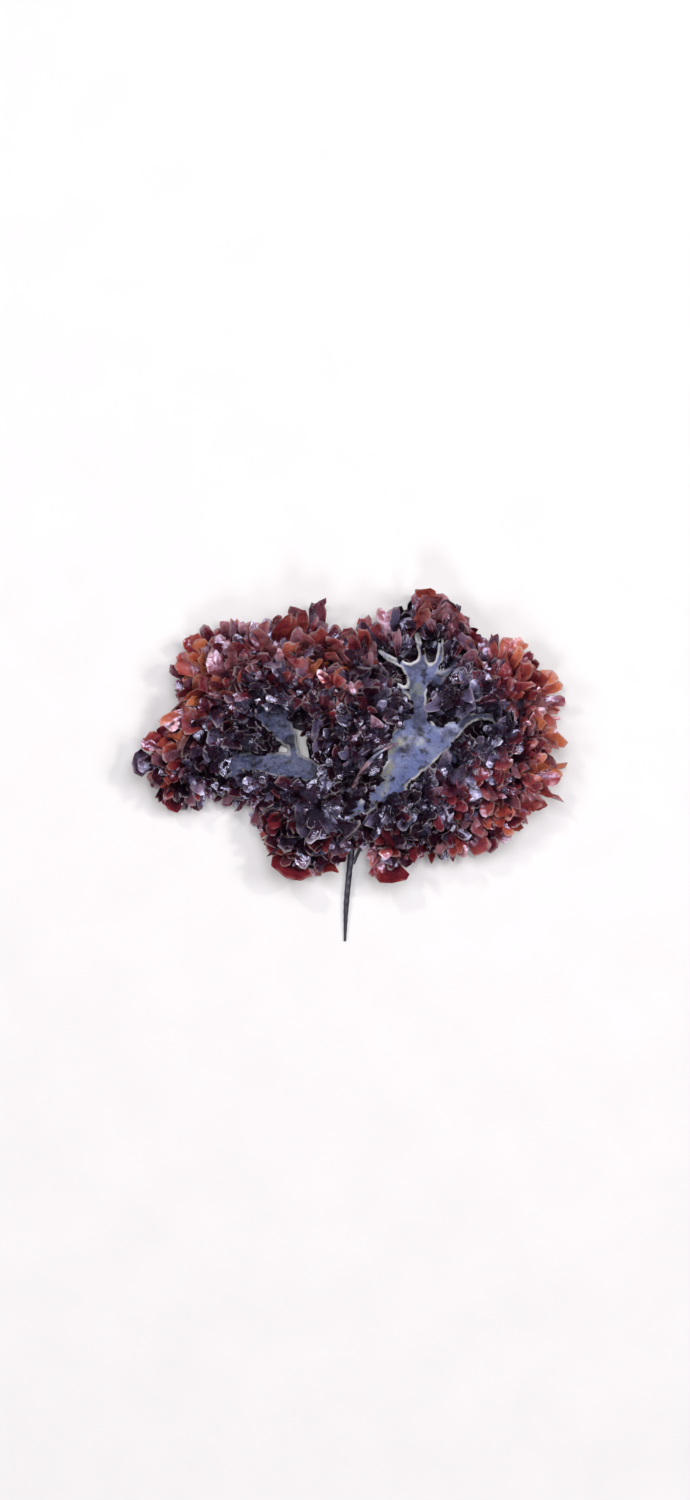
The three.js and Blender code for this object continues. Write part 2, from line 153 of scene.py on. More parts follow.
# %% A socket that can be calculated with
class Wire:
    """One output socket of a node tree."""

    def __init__(self, tree, socket=None):
        self.tree = tree
        self.socket = socket

    def make(self, kind, settings=None, inputs=None, output=0):
        """A new node in this tree: its settings first, then the values or links of its sockets."""
        node = self.tree.nodes.new(kind)
        for name, value in (settings or {}).items():
            setattr(node, name, value)
        for name, value in (inputs or {}).items():
            if isinstance(value, Wire):
                self.tree.links.new(value.socket, node.inputs[name])
            else:
                node.inputs[name].default_value = value
        return Wire(self.tree, node.outputs[output] if node.outputs else None)

    def out(self, name):
        """Another output of the same node."""
        return Wire(self.tree, self.socket.node.outputs[name])

    def math(self, operation, *values):
        return self.make("ShaderNodeMath", {"operation": operation}, dict(enumerate(values)))

    def vector(self, operation, *values):
        return self.make("ShaderNodeVectorMath", {"operation": operation}, dict(enumerate(values)))

    def noise(self, scale, detail):
        """Soft noise at this place, from 0 to 1 and 0.5 on average."""
        return self.make("ShaderNodeTexNoise", None, {"Vector": self, "Scale": scale, "Detail": detail})

    def attribute(self, name):
        """In a shader tree, a number that the mesh carries on its points."""
        return self.make("ShaderNodeAttribute", {"attribute_name": name}, output="Fac")

    def scaled(self, factor):
        return self.make("ShaderNodeVectorMath", {"operation": "SCALE"}, {0: self, "Scale": factor})

    def mixed(self, other, share):
        """This colour turning into another one as the share goes from 0 to 1."""
        other = (*other, 1.0) if isinstance(other, tuple) else other
        return self.make("ShaderNodeMix", {"data_type": "RGBA"}, {0: share, 6: self, 7: other}, output=2)

    def ramp(self, *stops):
        """A colour picked by this number. A stop is a place from 0 to 1 with its colour."""
        picked = self.make("ShaderNodeValToRGB", None, {"Fac": self})
        elements = picked.socket.node.color_ramp.elements
        while len(elements) < len(stops):
            elements.new(1.0)
        for element, (place, colour) in zip(elements, stops):
            element.position = place
            element.color = (*colour, 1.0)
        return picked

    def between(self, low, high):
        """0 below low, 1 above high, smooth in between."""
        return self.make(
            "ShaderNodeMapRange",
            {"interpolation_type": "SMOOTHSTEP"},
            {"Value": self, "From Min": low, "From Max": high},
        )


# %% The arithmetic of wires: each sign or name adds one Math node
OPERATIONS = {
    "__add__": "ADD", "__sub__": "SUBTRACT", "__mul__": "MULTIPLY", "__truediv__": "DIVIDE",
    "__pow__": "POWER", "__mod__": "MODULO", "__abs__": "ABSOLUTE", "__gt__": "GREATER_THAN",
    "__lt__": "LESS_THAN", "sin": "SINE", "cos": "COSINE", "sqrt": "SQRT", "floor": "FLOOR",
    "at_least": "MAXIMUM", "at_most": "MINIMUM",
}
SWAPPED_OPERATIONS = {"__radd__": "ADD", "__rsub__": "SUBTRACT", "__rmul__": "MULTIPLY"}


def math_method(operation, swapped=False):
    """A method that adds a Math node with the wire first, or last."""
    return lambda wire, *others: wire.math(operation, *((*others, wire) if swapped else (wire, *others)))


for sign, operation in OPERATIONS.items():
    setattr(Wire, sign, math_method(operation))
for sign, operation in SWAPPED_OPERATIONS.items():
    setattr(Wire, sign, math_method(operation, swapped=True))
print("operations on wires:", len(OPERATIONS) + len(SWAPPED_OPERATIONS))

# %% [markdown]
# ## The wet finishes
# Fresh irish moss is translucent and covered by a film of water that mirrors the sky in lavender. The
# film could be a clear coat over the colour, but a coat stays smooth where the tissue is wrinkled. So
# the shader's own reflection is raised instead, and the wrinkles break it into glints. Only colour,
# roughness and wrinkles change from place to place, and the rest is set once for each finish.

# %% A shader with a water film
FILM_BLOTCHES = 420.0
RED_GLOW = (1.0, 0.28, 0.16)
GLOW_DEPTH = 0.0016


def new_material(name):
    """An empty material, its first wire, and the place that its patterns follow."""
    material = bpy.data.materials.new(name)
    material.use_nodes = True
    material.node_tree.nodes.clear()
    start = Wire(material.node_tree)
    return material, start, start.make("ShaderNodeTexCoord", output="Object")


def wet_material(name, colour_of, roughness, bump, tint, specular, ior, depth, wrinkle):
    """A glossy, slightly translucent finish. colour_of gives its colour and its height."""
    material, start, place = new_material(name)
    colour, height = colour_of(start, place)
    smooth, rough = roughness
    shader = start.make(
        "ShaderNodeBsdfPrincipled",
        None,
        {
            "Base Color": colour,
            "Roughness": smooth + (rough - smooth) * place.noise(FILM_BLOTCHES, 3.0),
            "Normal": start.make(
                "ShaderNodeBump", None, {"Strength": bump, "Distance": wrinkle, "Height": height}
            ),
            "Specular Tint": tint,
            "Specular IOR Level": specular,
            "IOR": ior,
            "Subsurface Weight": depth,
            "Subsurface Radius": RED_GLOW,
            "Subsurface Scale": GLOW_DEPTH,
        },
    )
    start.make("ShaderNodeOutputMaterial", None, {"Surface": shader})
    return material


# %% [markdown]
# ### The lobes
# A lobe goes from near-black purple through maroon to orange where it is thin, and its web, the part seen
# in the gaps between lobes, is darkened to near black as painted shade. A picture could hold these colours,
# but a ramp fits every lobe: it follows the lobe's own tone with some cloud in it. A painted sheen, the sky
# mirrored in the wet film, lies on some lobes, lavender on dark tissue and pink on red, and a painted
# highlight on some rims.

# %% The colours of the lobes
LOBE_PLUM = (0.006, 0.0025, 0.006)
LOBE_WINE = (0.026, 0.0045, 0.011)
LOBE_RED = (0.165, 0.017, 0.024)
LOBE_BRICK = (0.35, 0.062, 0.040)
LOBE_ORANGE = (0.58, 0.170, 0.070)
# Painted sheen: the sky mirrored in the wet film, lavender on dark lobes and pink on red ones
LAVENDER_SHEEN = (0.20, 0.18, 0.30)
PINK_SHEEN = (0.46, 0.25, 0.28)
# A painted highlight on the rims of the lobes, where the edges catch the light
RIM_HIGHLIGHT = (0.50, 0.44, 0.42)
# WEB_SHADE is the strength of the painted shade on the lobes' webs
WEB_SHADE, SHEEN_STRENGTH, RIM_HIGHLIGHT_SHARE = 0.75, 0.6, 0.5
RIPENING = [(0.0, LOBE_PLUM), (0.25, LOBE_WINE), (0.5, LOBE_RED), (0.75, LOBE_BRICK), (1.0, LOBE_ORANGE)]


def lobe_colour(start, place):
    along, tone, sheen_amount = (start.attribute(name) for name in ("along", "tone", "sheen_amount"))
    cloud = place.noise(160.0, 4.0)
    ripeness = 0.05 + tone * 0.85 + (along - 0.75) * 0.6 * tone + (cloud - 0.5) * (0.4 + 0.6 * tone)
    colour = ripeness.ramp(*RIPENING)
    # The colour of the painted sheen, lavender on dark lobes and pink on red ones
    sheen_colour = start.make(
        "ShaderNodeMix",
        {"data_type": "RGBA"},
        {0: tone.between(0.2, 0.5), 6: (*LAVENDER_SHEEN, 1.0), 7: (*PINK_SHEEN, 1.0)},
        output=2,
    )
    # Painted shade: the inner part of each lobe, its web, is darkened towards plum for the gaps between
    # lobes
    outer = along.between(0.45, 0.88)
    colour = colour.mixed(LOBE_PLUM, (1.0 - outer) * WEB_SHADE)
    # Painted sheen on the outer part of some lobes
    colour = colour.mixed(sheen_colour, sheen_amount * outer * cloud.between(0.35, 0.55) * SHEEN_STRENGTH)
    # Painted highlight along the rims, in patches
    rim = along.between(0.93, 1.0) * cloud.between(0.42, 0.58) * RIM_HIGHLIGHT_SHARE
    return colour.mixed(RIM_HIGHLIGHT, rim), place.noise(620.0, 5.0)


# %% The finish of the lobes in the light, and of the fringe under the blades, which has less film and is painted near-black as shade
LOBE_TINT = (0.80, 0.79, 1.0, 1.0)
wet_lobe = wet_material(
    "wet_lobe", lobe_colour, roughness=(0.03, 0.18), bump=1.0,
    tint=LOBE_TINT, specular=0.75, ior=1.9, depth=0.15, wrinkle=0.0005,
)
shaded_lobe = wet_material(
    "shaded_lobe", lobe_colour, roughness=(0.08, 0.40), bump=1.0,
    tint=LOBE_TINT, specular=0.25, ior=1.5, depth=0.05, wrinkle=0.0005,
)
print("lobe finishes:", wet_lobe.name, shaded_lobe.name)

# %% [markdown]
# ### The blades
# The blades are blue-grey, partly their own colour and partly a painted reflection of the sky in the
# film, with olive patches, dark flecks and a cream margin that is partly a painted highlight. The left
# blades are painted darker, as shade. Noise at three scales makes the patches and flecks, a few spots and
# highlights are painted by their distance from a point, and the margin follows the distance to the edge.

# %% The colours of the blades, and painted spots and highlights: their place on the plan, size in millimetres and colour
# Blue-grey, partly the tissue's own colour and partly a painted reflection of the sky in the film
BLADE_BLUE_AND_SKY_SHEEN = (0.072, 0.090, 0.195)
BLADE_GREY_AND_SKY_SHEEN = (0.14, 0.155, 0.25)
BLADE_OLIVE = (0.22, 0.21, 0.11)
# A dark colour for the flecks and patches of the tissue, and for the painted shade on the left
BLADE_DARK_AND_SHADE = (0.020, 0.018, 0.028)
MARGIN_PALE_AND_HIGHLIGHT = (0.62, 0.59, 0.53)
BLADE_SPOTS_AND_HIGHLIGHTS = [
    # A painted highlight: a pale lavender patch of sky mirrored in the film
    ((36.5, 12.5, 2.0), 6.0, (0.50, 0.52, 0.68)),
    # A row of painted cream-yellow highlights along a crest
    ((13.6, 6.4, 2.0), 4.0, (0.24, 0.23, 0.14)),
    ((18.8, 8.0, 2.0), 4.0, (0.28, 0.27, 0.18)),
    ((24.0, 9.2, 2.0), 4.0, (0.27, 0.28, 0.26)),
    # An olive patch of the tissue
    ((22.5, 26.5, 2.0), 4.5, (0.15, 0.165, 0.075)),
]
# Where the painted shade on the left fades out, in metres of x
SHADY_SIDE = (-0.012, 0.012)


def blade_colour(start, place):
    broad, patch, fleck = place.noise(70.0, 3.0), place.noise(120.0, 5.0), place.noise(340.0, 7.0)
    colour = broad.ramp((0.35, BLADE_BLUE_AND_SKY_SHEEN), (0.5, BLADE_GREY_AND_SKY_SHEEN), (0.68, BLADE_BLUE_AND_SKY_SHEEN))
    # Painted shade on the left blades, growing towards the left
    west_shade = 1.0 - start.make("ShaderNodeSeparateXYZ", None, {0: place}).between(*SHADY_SIDE)
    colour = colour.mixed(BLADE_OLIVE, patch.between(0.60, 0.74) * (0.7 - 0.5 * west_shade))
    # Dark patches of the tissue, and the painted shade on the left, in one mix
    colour = colour.mixed(BLADE_DARK_AND_SHADE, 0.55 * west_shade + patch.between(0.50, 0.36) * 0.7)
    colour = colour.mixed(BLADE_DARK_AND_SHADE, fleck.between(0.56, 0.63) * 0.95)
    # Painted spots, most of them painted highlights
    for spot, size, paint in BLADE_SPOTS_AND_HIGHLIGHTS:
        gap = start.make(
            "ShaderNodeVectorMath", {"operation": "DISTANCE"}, {0: place, 1: on_plan(*spot)}, output="Value"
        )
        near = (1.0 - (gap / (size * MM)).between(0.3, 1.0)) * patch.between(0.34, 0.52)
        colour = colour.mixed(paint, near * (0.9 - 0.6 * fleck.between(0.44, 0.52)))
    # The pale margin: partly the tissue's own cream edge, partly a painted highlight, weaker in the painted
    # shade on the left
    margin = 1.0 - start.attribute("edge").between(0.3, 1.15)
    colour = colour.mixed(MARGIN_PALE_AND_HIGHLIGHT, margin * broad.between(0.34, 0.48) * (0.85 - 0.45 * west_shade))
    return colour, place.noise(330.0, 6.0)


BLADE_TINT = (0.80, 0.84, 1.0, 1.0)
wet_blade = wet_material(
    "wet_blade", blade_colour, roughness=(0.12, 0.40), bump=0.9,
    tint=BLADE_TINT, specular=0.25, ior=1.5, depth=0.1, wrinkle=0.0010,
)
print("blade finish:", wet_blade.name, "with", len(BLADE_SPOTS_AND_HIGHLIGHTS), "spots")

# %% [markdown]
# ### The stalks and the stipe
# Stalks are dark straps with a painted blue-grey sheen and paler, reddish stretches. A few that cross in
# the open are flushed with pink, so their lines carry a number for it. The stipe is near black with
# greyer streaks, which come from noise stretched along its length.

# %% The finish of the stalks
STALK_DARK = (0.014, 0.010, 0.018)
# A painted blue-grey sheen
STALK_BLUE_SHEEN = (0.070, 0.080, 0.150)
STALK_PALE = (0.26, 0.17, 0.17)
STALK_FLUSH = (0.32, 0.16, 0.15)


def stalk_colour(start, place):
    broad, fine = place.noise(150.0, 4.0), place.noise(800.0, 4.0)
    mottle = broad + (fine - 0.5) * 0.3
    colour = mottle.ramp((0.36, STALK_DARK), (0.52, STALK_BLUE_SHEEN), (0.72, STALK_PALE))
    flush = start.attribute("flush") * broad.between(0.36, 0.56) * 0.75
    return colour.mixed(STALK_FLUSH, flush), fine


wet_stalk = wet_material(
    "wet_stalk", stalk_colour, roughness=(0.2, 0.45), bump=0.5,
    tint=BLADE_TINT, specular=0.6, ior=1.8, depth=0.1, wrinkle=0.0004,
)
print("stalk finish:", wet_stalk.name)

# %% The finish of the stipe
STIPE_BLACK = (0.012, 0.008, 0.012)
STIPE_GREY = (0.040, 0.036, 0.046)
STIPE_TINT = (0.9, 0.92, 1.0, 1.0)


def stipe_colour(start, place):
    streak = start.make("ShaderNodeMapping", None, {"Vector": place, "Scale": (1.0, 0.2, 1.0)})
    cloud = streak.noise(700.0, 4.0)
    return cloud.ramp((0.35, STIPE_BLACK), (0.7, STIPE_GREY)), cloud


wet_stipe = wet_material(
    "wet_stipe", stipe_colour, roughness=(0.2, 0.45), bump=0.4,
    tint=STIPE_TINT, specular=0.5, ior=1.5, depth=0.0, wrinkle=0.0004,
)
print("stipe finish:", wet_stipe.name)

# %% [markdown]
# ## One rule for every fan
# A fan is a flat web that forks twice. Its outline runs from notch to tip to notch, neighbouring
# lobes lean to opposite sides of the web, and the whole curls up. Modelling one fan and copying it
# would show, so a tree builds each lobe from a small grid of a few dozen faces, and the numbers on
# its anchor point (direction, reach, spread, seed) bend that grid into place. The grid is then
# doubled into a thin lens: thick in the web, sharp at the rim.


# %% The tree's inputs
def new_tree(name, inputs):
    """A geometry tree with a geometry going in and out, and more inputs by name and kind."""
    tree = bpy.data.node_groups.new(name, "GeometryNodeTree")
    tree.is_modifier = True
    tree.interface.new_socket("Geometry", in_out="INPUT", socket_type="NodeSocketGeometry")
    tree.interface.new_socket("Geometry", in_out="OUTPUT", socket_type="NodeSocketGeometry")
    for label, kind in inputs.items():
        tree.interface.new_socket(label, in_out="INPUT", socket_type="NodeSocket" + kind)
    return tree, Wire(tree).make("NodeGroupInput")


FAN_VALUES = {
    "Curl": math.radians(24),
    "Side notch": 0.30,
    "Pair notch": 0.46,
    "Lobe notch": 0.60,
    "Pair lift": 0.42,
    "Lobe lift": 0.46,
    "Cup": 0.12,
    "Twist": 1.00,
    "Overlap": 0.35,
    "Tip split": 0.08,
    "Ruffle": 0.0060,
    "Crumple": 0.0050,
    "Press from": 0.0165,
    "Press depth": 0.0175,
    "Thickness": 0.0006,
    "Material": wet_lobe,
}
fan_inputs = {label: "Material" if label == "Material" else "Float" for label in FAN_VALUES}
fan_tree, fan_input = new_tree("Ruffled fans", fan_inputs)
print("fan inputs:", len(fan_inputs))


# %% Numbers on points
def named(start, name, kind="FLOAT"):
    """A number that every point carries."""
    return start.make("GeometryNodeInputNamedAttribute", {"data_type": kind}, {"Name": name})


def stored(geometry, name, value):
    """The geometry with a number kept on every point."""
    return geometry.make(
        "GeometryNodeStoreNamedAttribute",
        {"data_type": "FLOAT", "domain": "POINT"},
        {"Geometry": geometry, "Name": name, "Value": value},
    )


# %% One grid for each lobe
LOBE_COLUMNS, LOBE_ROWS = 8, 5


def lobe_grids(source):
    """A small square grid on every anchor, closer meshed at its sides and towards its tip."""
    grid = source.make(
        "GeometryNodeMeshGrid",
        None,
        {"Size X": 2.0, "Size Y": 2.0, "Vertices X": LOBE_COLUMNS + 1, "Vertices Y": LOBE_ROWS + 1},
        output="Mesh",
    )
    spot = source.make("ShaderNodeSeparateXYZ", None, {0: source.make("GeometryNodeInputPosition")})
    across = (spot.out("X") * (math.pi / 2)).sin()
    along = ((spot.out("Y") + 1.0) / 2.0) ** 0.75
    template = stored(stored(grid, "place", across), "along", along)
    planted = source.make(
        "GeometryNodeInstanceOnPoints", None, {"Points": source.out("Geometry"), "Instance": template}
    )
    return source.make("GeometryNodeRealizeInstances", None, {"Geometry": planted})


grids = lobe_grids(fan_input)
print("faces of a lobe's grid:", LOBE_COLUMNS * LOBE_ROWS)

# %% [markdown]
# The formula below is the heart of the frond. Each fork has a notch: shallow inside a pair of lobes,
# deep between pairs. A point's radius runs from the fan's root to that outline. Everything that makes
# one lobe differ from the next is zero at the notches, so neighbouring grids meet edge to edge.

# %% The outline of a fan: how far a point lies from its root
TIP_REACH, TIP_VARIETY = 0.86, 0.14
SHORTEST_LOBE = 0.06


def lobe_variety(source):
    """A number from -1 to 1 that differs from lobe to lobe."""
    return (named(source, "lobe") * 2.4 + named(source, "seed")).sin()


def fan_radius(source):
    """The distance from the root as a share of the fan's reach."""
    pair_notch, lobe_notch = source.out("Pair notch"), source.out("Lobe notch")
    place, lobe, lobes, seed = (named(source, name) for name in ("place", "lobe", "lobes", "seed"))
    fork = lobe + (place > 0.0)
    inner_notch = pair_notch + (lobe_notch - pair_notch) * (fork % 2.0)
    at_side = (fork < 0.5) + (fork > lobes - 0.5)
    notch = inner_notch + (source.out("Side notch") - inner_notch) * at_side
    split = source.out("Tip split") * ((lobe * 4.1 + seed * 2.0).sin() * 0.5 + 0.5)
    tip = (TIP_REACH + TIP_VARIETY * lobe_variety(source)).at_most(named(source, "limit"))
    tip = tip.at_least(lobe_notch + SHORTEST_LOBE)
    tip = tip * (1.0 - split * (1.0 - 2.2 * abs(place)).at_least(0.0))
    rounded = (1.0 - abs(place) ** 2.2).at_least(0.0).sqrt()
    pointed = (1.0 - abs(place)).at_least(0.0) ** 0.8
    outline = notch + (tip - notch) * (rounded + (pointed - rounded) * named(source, "point"))
    return named(source, "along") * outline


# %% How a lobe leans out of the web, curls and twists
def fan_lift(source, radius, share):
    """The height over the plane of the web, as a share of the reach."""
    curl, cup = source.out("Curl"), source.out("Cup")
    place, lobe, seed = (named(source, name) for name in ("place", "lobe", "seed"))
    pair_side = 1.0 - 2.0 * ((lobe / 2.0).floor() % 2.0)
    lobe_side = 1.0 - 2.0 * (lobe % 2.0)
    free_pair = (radius - source.out("Pair notch")).at_least(0.0)
    free_lobe = (radius - source.out("Lobe notch")).at_least(0.0)
    lift = (1.0 - (curl * radius).cos()) / curl
    lift = lift + source.out("Pair lift") * pair_side * free_pair**2.0
    lift = lift + source.out("Lobe lift") * free_lobe * (lobe_side + 0.8 * lobe_variety(source))
    lift = lift + cup * (2.0 * share - 1.0) ** 2.0 * radius**2.0
    lift = lift + source.out("Twist") * place * free_lobe * (lobe * 1.9 + seed * 1.3).sin()
    return lift + cup * place * place * free_pair


# %% Ruffle the sheet, and press it between the surface and a soft limit above
RUFFLE_SCALE, FOLD_SCALE = 190.0, 420.0
LOWEST = 0.0006


def ruffled(source, spot, radius):
    """The point moved by noise, which grows from the root to the rim, and settled in height."""
    seed = named(source, "seed")
    waves = source.make(
        "ShaderNodeTexNoise",
        {"noise_dimensions": "4D"},
        {"Vector": spot, "W": seed, "Scale": RUFFLE_SCALE, "Detail": 2.0},
        output=1,
    )
    folds = source.make(
        "ShaderNodeTexNoise",
        {"noise_dimensions": "4D"},
        {"Vector": spot, "W": seed, "Scale": FOLD_SCALE, "Detail": 1.0},
    )
    ruffle = source.vector("SUBTRACT", waves, (0.5, 0.5, 0.5)).scaled(source.out("Ruffle") * radius)
    crumple = named(source, "up", "FLOAT_VECTOR").scaled((folds - 0.5) * source.out("Crumple") * radius)
    moved = source.vector("ADD", source.vector("ADD", spot, ruffle), crumple)
    plan = source.make("ShaderNodeSeparateXYZ", None, {0: moved})
    height = plan.out("Z").at_least(LOWEST)
    excess = (height - source.out("Press from")).at_least(0.0)
    height = height - excess + excess / (1.0 + excess / source.out("Press depth"))
    return source.make("ShaderNodeCombineXYZ", None, {0: plan.out("X"), 1: plan.out("Y"), 2: height})


# %% Bend the grids into fans
WELD = 1e-6


def fan_position(source):
    """Where a point of a grid lies in its fan, and its share of the fan's spread."""
    curl, lobe_notch = source.out("Curl"), source.out("Lobe notch")
    place, lobe, lobes = (named(source, name) for name in ("place", "lobe", "lobes"))
    radius = fan_radius(source)
    share = (lobe + (place + 1.0) / 2.0) / lobes
    broader = source.out("Overlap") * (radius - lobe_notch).at_least(0.0) / (1.0 - lobe_notch)
    angle = (share + place * broader / lobes - 0.5) * named(source, "spread")
    run = (curl * radius).sin() / curl
    steps = {"forward": run * angle.cos(), "side": run * angle.sin(), "up": fan_lift(source, radius, share)}
    spot = named(source, "base", "FLOAT_VECTOR")
    for direction, distance in steps.items():
        step = named(source, direction, "FLOAT_VECTOR").scaled(named(source, "reach") * distance)
        spot = source.vector("ADD", spot, step)
    return ruffled(source, spot, radius), share


placed, fan_share = fan_position(fan_input)
sheet = fan_input.make("GeometryNodeSetPosition", None, {"Geometry": grids, "Position": placed})
sheet = stored(sheet, "share", fan_share)
sheet = fan_input.make("GeometryNodeMergeByDistance", None, {"Geometry": sheet, "Distance": WELD})
print("nodes that bend a fan:", len(fan_tree.nodes))


# %% Double the sheet into a lens with a sharp rim
def lens(source, sheet):
    """Two faces that part in the web and meet at the root, the sides and the rim."""
    along, share = named(source, "along"), named(source, "share")
    rim = 1.0 - along**12.0
    root = (along * 8.0).at_most(1.0)
    sides = 1.0 - abs(2.0 * share - 1.0) ** 8.0
    half = source.out("Thickness") * 0.5 * rim * root * sides
    flipped = source.make("GeometryNodeFlipFaces", None, {"Mesh": sheet})
    normal = source.make("GeometryNodeInputNormal")
    both = source.make("GeometryNodeJoinGeometry")
    for face in (sheet, flipped):
        moved = source.make(
            "GeometryNodeSetPosition", None, {"Geometry": face, "Offset": normal.scaled(half)}
        )
        source.tree.links.new(moved.socket, both.socket.node.inputs["Geometry"])
    welded = source.make("GeometryNodeMergeByDistance", None, {"Geometry": both, "Distance": WELD})
    smooth = source.make("GeometryNodeSetShadeSmooth", None, {"Geometry": welded})
    crisp = source.make(
        "GeometryNodeSetShadeSmooth",
        {"domain": "EDGE"},
        {"Geometry": smooth, "Selection": along > 0.999, "Shade Smooth": False},
    )
    return source.make("GeometryNodeRealizeInstances", None, {"Geometry": crisp})


def finish_tree(source, geometry):
    """The last two nodes of every tree: the finish, and the way out."""
    painted = source.make(
        "GeometryNodeSetMaterial", None, {"Geometry": geometry, "Material": source.out("Material")}
    )
    source.make("NodeGroupOutput", None, {"Geometry": painted})


finish_tree(fan_input, lens(fan_input, sheet))
print("fan tree:", len(fan_tree.nodes), "nodes")

# %% [markdown]
# ## The blades as a field
# Where two blades fork there is no seam: the tissue runs from one strap into the other, with a round
# web in the fork. A distance field does that: each strap gives the distance to its edge, and the
# distances are blended. The field comes before the fans, because fans grow outwards from the blades
# and leave their open faces clear.

# %% The straps of the blades: their lines and full widths
BLADES = {
    "right_main_blade": (
        ((3, -17), (10, -10.5), (15.5, -4.2), (22.8, 3.1), (31, 9.5)), (3.5, 6.5, 9.5, 11.5, 9)
    ),
    "left_main_blade": (((1, -16), (-7, -5.5), (-16, -1), (-27, 0.7), (-38, 1.2)), (3.5, 6, 8, 8, 5.5)),
    "right_upper_blade": (((27.5, 7), (24.6, 17), (23.8, 25), (24.5, 32)), (9, 6, 5.5, 8)),
    "right_outer_blade": (((29, 8.5), (36, 12.5), (42, 16.5), (49, 17), (54.5, 12)), (7, 6, 3.2, 2.6, 2.0)),
    "right_lower_blade": (((14, -4), (19, -13), (25, -20)), (7, 6, 6)),
    "left_upper_blade": (((-19, 0), (-19.7, 7.2), (-23.8, 13.1), (-29, 21)), (3, 3.4, 8, 8)),
    "left_outer_blade": (((-36, 1), (-45, 0.2), (-54, 1.5)), (5.5, 5.5, 5)),
    "left_lower_blade": (((0, -15.5), (-8, -19.5), (-16, -25)), (4, 5, 6)),
    "middle_blade": (((2.5, -16.5), (1.5, -2), (3, 14)), (3, 5, 6)),
}
STRANDS = [
    (((23.5, 30), (19, 35), (13, 38), (8, 43)), (4, 2.6, 2.0, 1.4)),
    (((25, 32), (25.5, 38), (24, 44), (23, 50)), (4, 2.6, 2.0, 1.4)),
    (((27, 31), (31, 36), (32, 42), (31, 49)), (4, 2.8, 2.2, 1.4)),
    (((28, 30), (35, 33), (39, 38), (38.5, 44)), (3, 2.2, 1.8, 1.2)),
    (((24, 25), (18, 27), (13.5, 33)), (3, 2.2, 1.4)),
    (((-24, 12), (-31, 17), (-35, 25)), (4, 2.4, 1.4)),
    (((-36, 1), (-43, -5), (-47, -7)), (3.5, 2.0, 1.2)),
    (((14, 4), (18.5, 10), (23.5, 18)), (5, 7, 5)),
]

print("straps:", len(BLADES), "blades and", len(STRANDS), "strands")


# %% A smooth line through points
def spline(points, count):
    """A smooth line through the points, as an array of so many points."""
    points = np.array(points, dtype=float)
    padded = np.vstack([2 * points[0] - points[1], points, 2 * points[-1] - points[-2]])
    steps = np.linspace(0, len(points) - 1, count)
    span = np.minimum(steps.astype(int), len(points) - 2)
    t = (steps - span)[:, None]
    a, b, c, d = (padded[span + k] for k in range(4))
    return 0.5 * (2 * b + (c - a) * t + (2 * a - 5 * b + 4 * c - d) * t**2 + (3 * b - a - 3 * c + d) * t**3)


# %% The middle line and half widths of every strap, with an edge that waves a little
LINE_POINTS = 48
EDGE_WAVES = [(0.07, 0.7), (0.05, 1.9), (0.03, 3.1)]
WAVE_SHIFT = 5.0
strap_lines = {}
all_straps = {**BLADES, **{f"strand_{k}": strand for k, strand in enumerate(STRANDS)}}
for name, (path, widths) in all_straps.items():
    half = np.interp(np.linspace(0, len(path) - 1, LINE_POINTS), range(len(path)), widths) / 2
    step = np.arange(LINE_POINTS) + WAVE_SHIFT * len(strap_lines)
    wave = 1
    for height, pace in EDGE_WAVES:
        wave = wave + height * np.sin(pace * step)
    strap_lines[name] = (spline(path, LINE_POINTS), half * wave)
print("strap lines:", len(strap_lines))

# %% How far a place is from the edge of the blades
FORK_BLEND = 0.8
SLOPE_STEP = 0.05


def edge_field(points, straps=None):
    """Distance to the edge of the blades, or of some straps, in millimetres, below zero inside."""
    total = np.zeros(len(points))
    for line, half in strap_lines.values() if straps is None else straps:
        gap = np.linalg.norm(points[:, None, :] - line[None, :, :], axis=2) - half[None, :]
        total += np.exp(-gap.min(axis=1) / FORK_BLEND)
    return -FORK_BLEND * np.log(total)


def edge_slope(points):
    """How the distance changes along x and y."""
    steps = [np.array([SLOPE_STEP, 0.0]), np.array([0.0, SLOPE_STEP])]
    changes = [edge_field(points + step) - edge_field(points - step) for step in steps]
    return np.stack([change / (2 * SLOPE_STEP) for change in changes], axis=1)


# %% [markdown]
# ## Where a lobe may lie
# A real frond has open blades, a few small windows between its lobes, and an outline with bays. Lobes
# could be cut off where they cover one of these, but a cut shows. So each lobe is measured along its
# own line before it is made, and ends where it would cover something.

# %% The stretches of straps that stay open, as shares of their length
OPEN_STRETCHES = {
    "right_main_blade": (0.2, 1.0),
    "right_upper_blade": (0.0, 1.0),
    "right_outer_blade": (0.0, 0.75),
    "left_main_blade": (0.45, 1.0),
    "left_upper_blade": (0.3, 0.9),
    **{f"strand_{k}": (0.0, 0.8) for k in range(len(STRANDS))},
}
open_straps = []
for blade, (first, last) in OPEN_STRETCHES.items():
    line, half = strap_lines[blade]
    kept = slice(int(first * (LINE_POINTS - 1)), int(last * (LINE_POINTS - 1)) + 1)
    open_straps.append((line[kept], half[kept]))
print("open stretches:", len(open_straps))

# %% The windows: both ends of their middle line, and half their width
WINDOWS = [
    ((-17.3, 4.5), (-17.3, 12.0), 1.8),
    ((-22.0, 5.6), (-21.4, 6.4), 1.5),
    ((-47.3, -11.0), (-47.3, -10.0), 1.7),
    ((0.5, -36.0), (1.4, -29.0), 1.2),
    ((4.0, -34.0), (6.0, -29.5), 2.2),
    ((70.5, 22.0), (76.0, 20.5), 1.5),
]


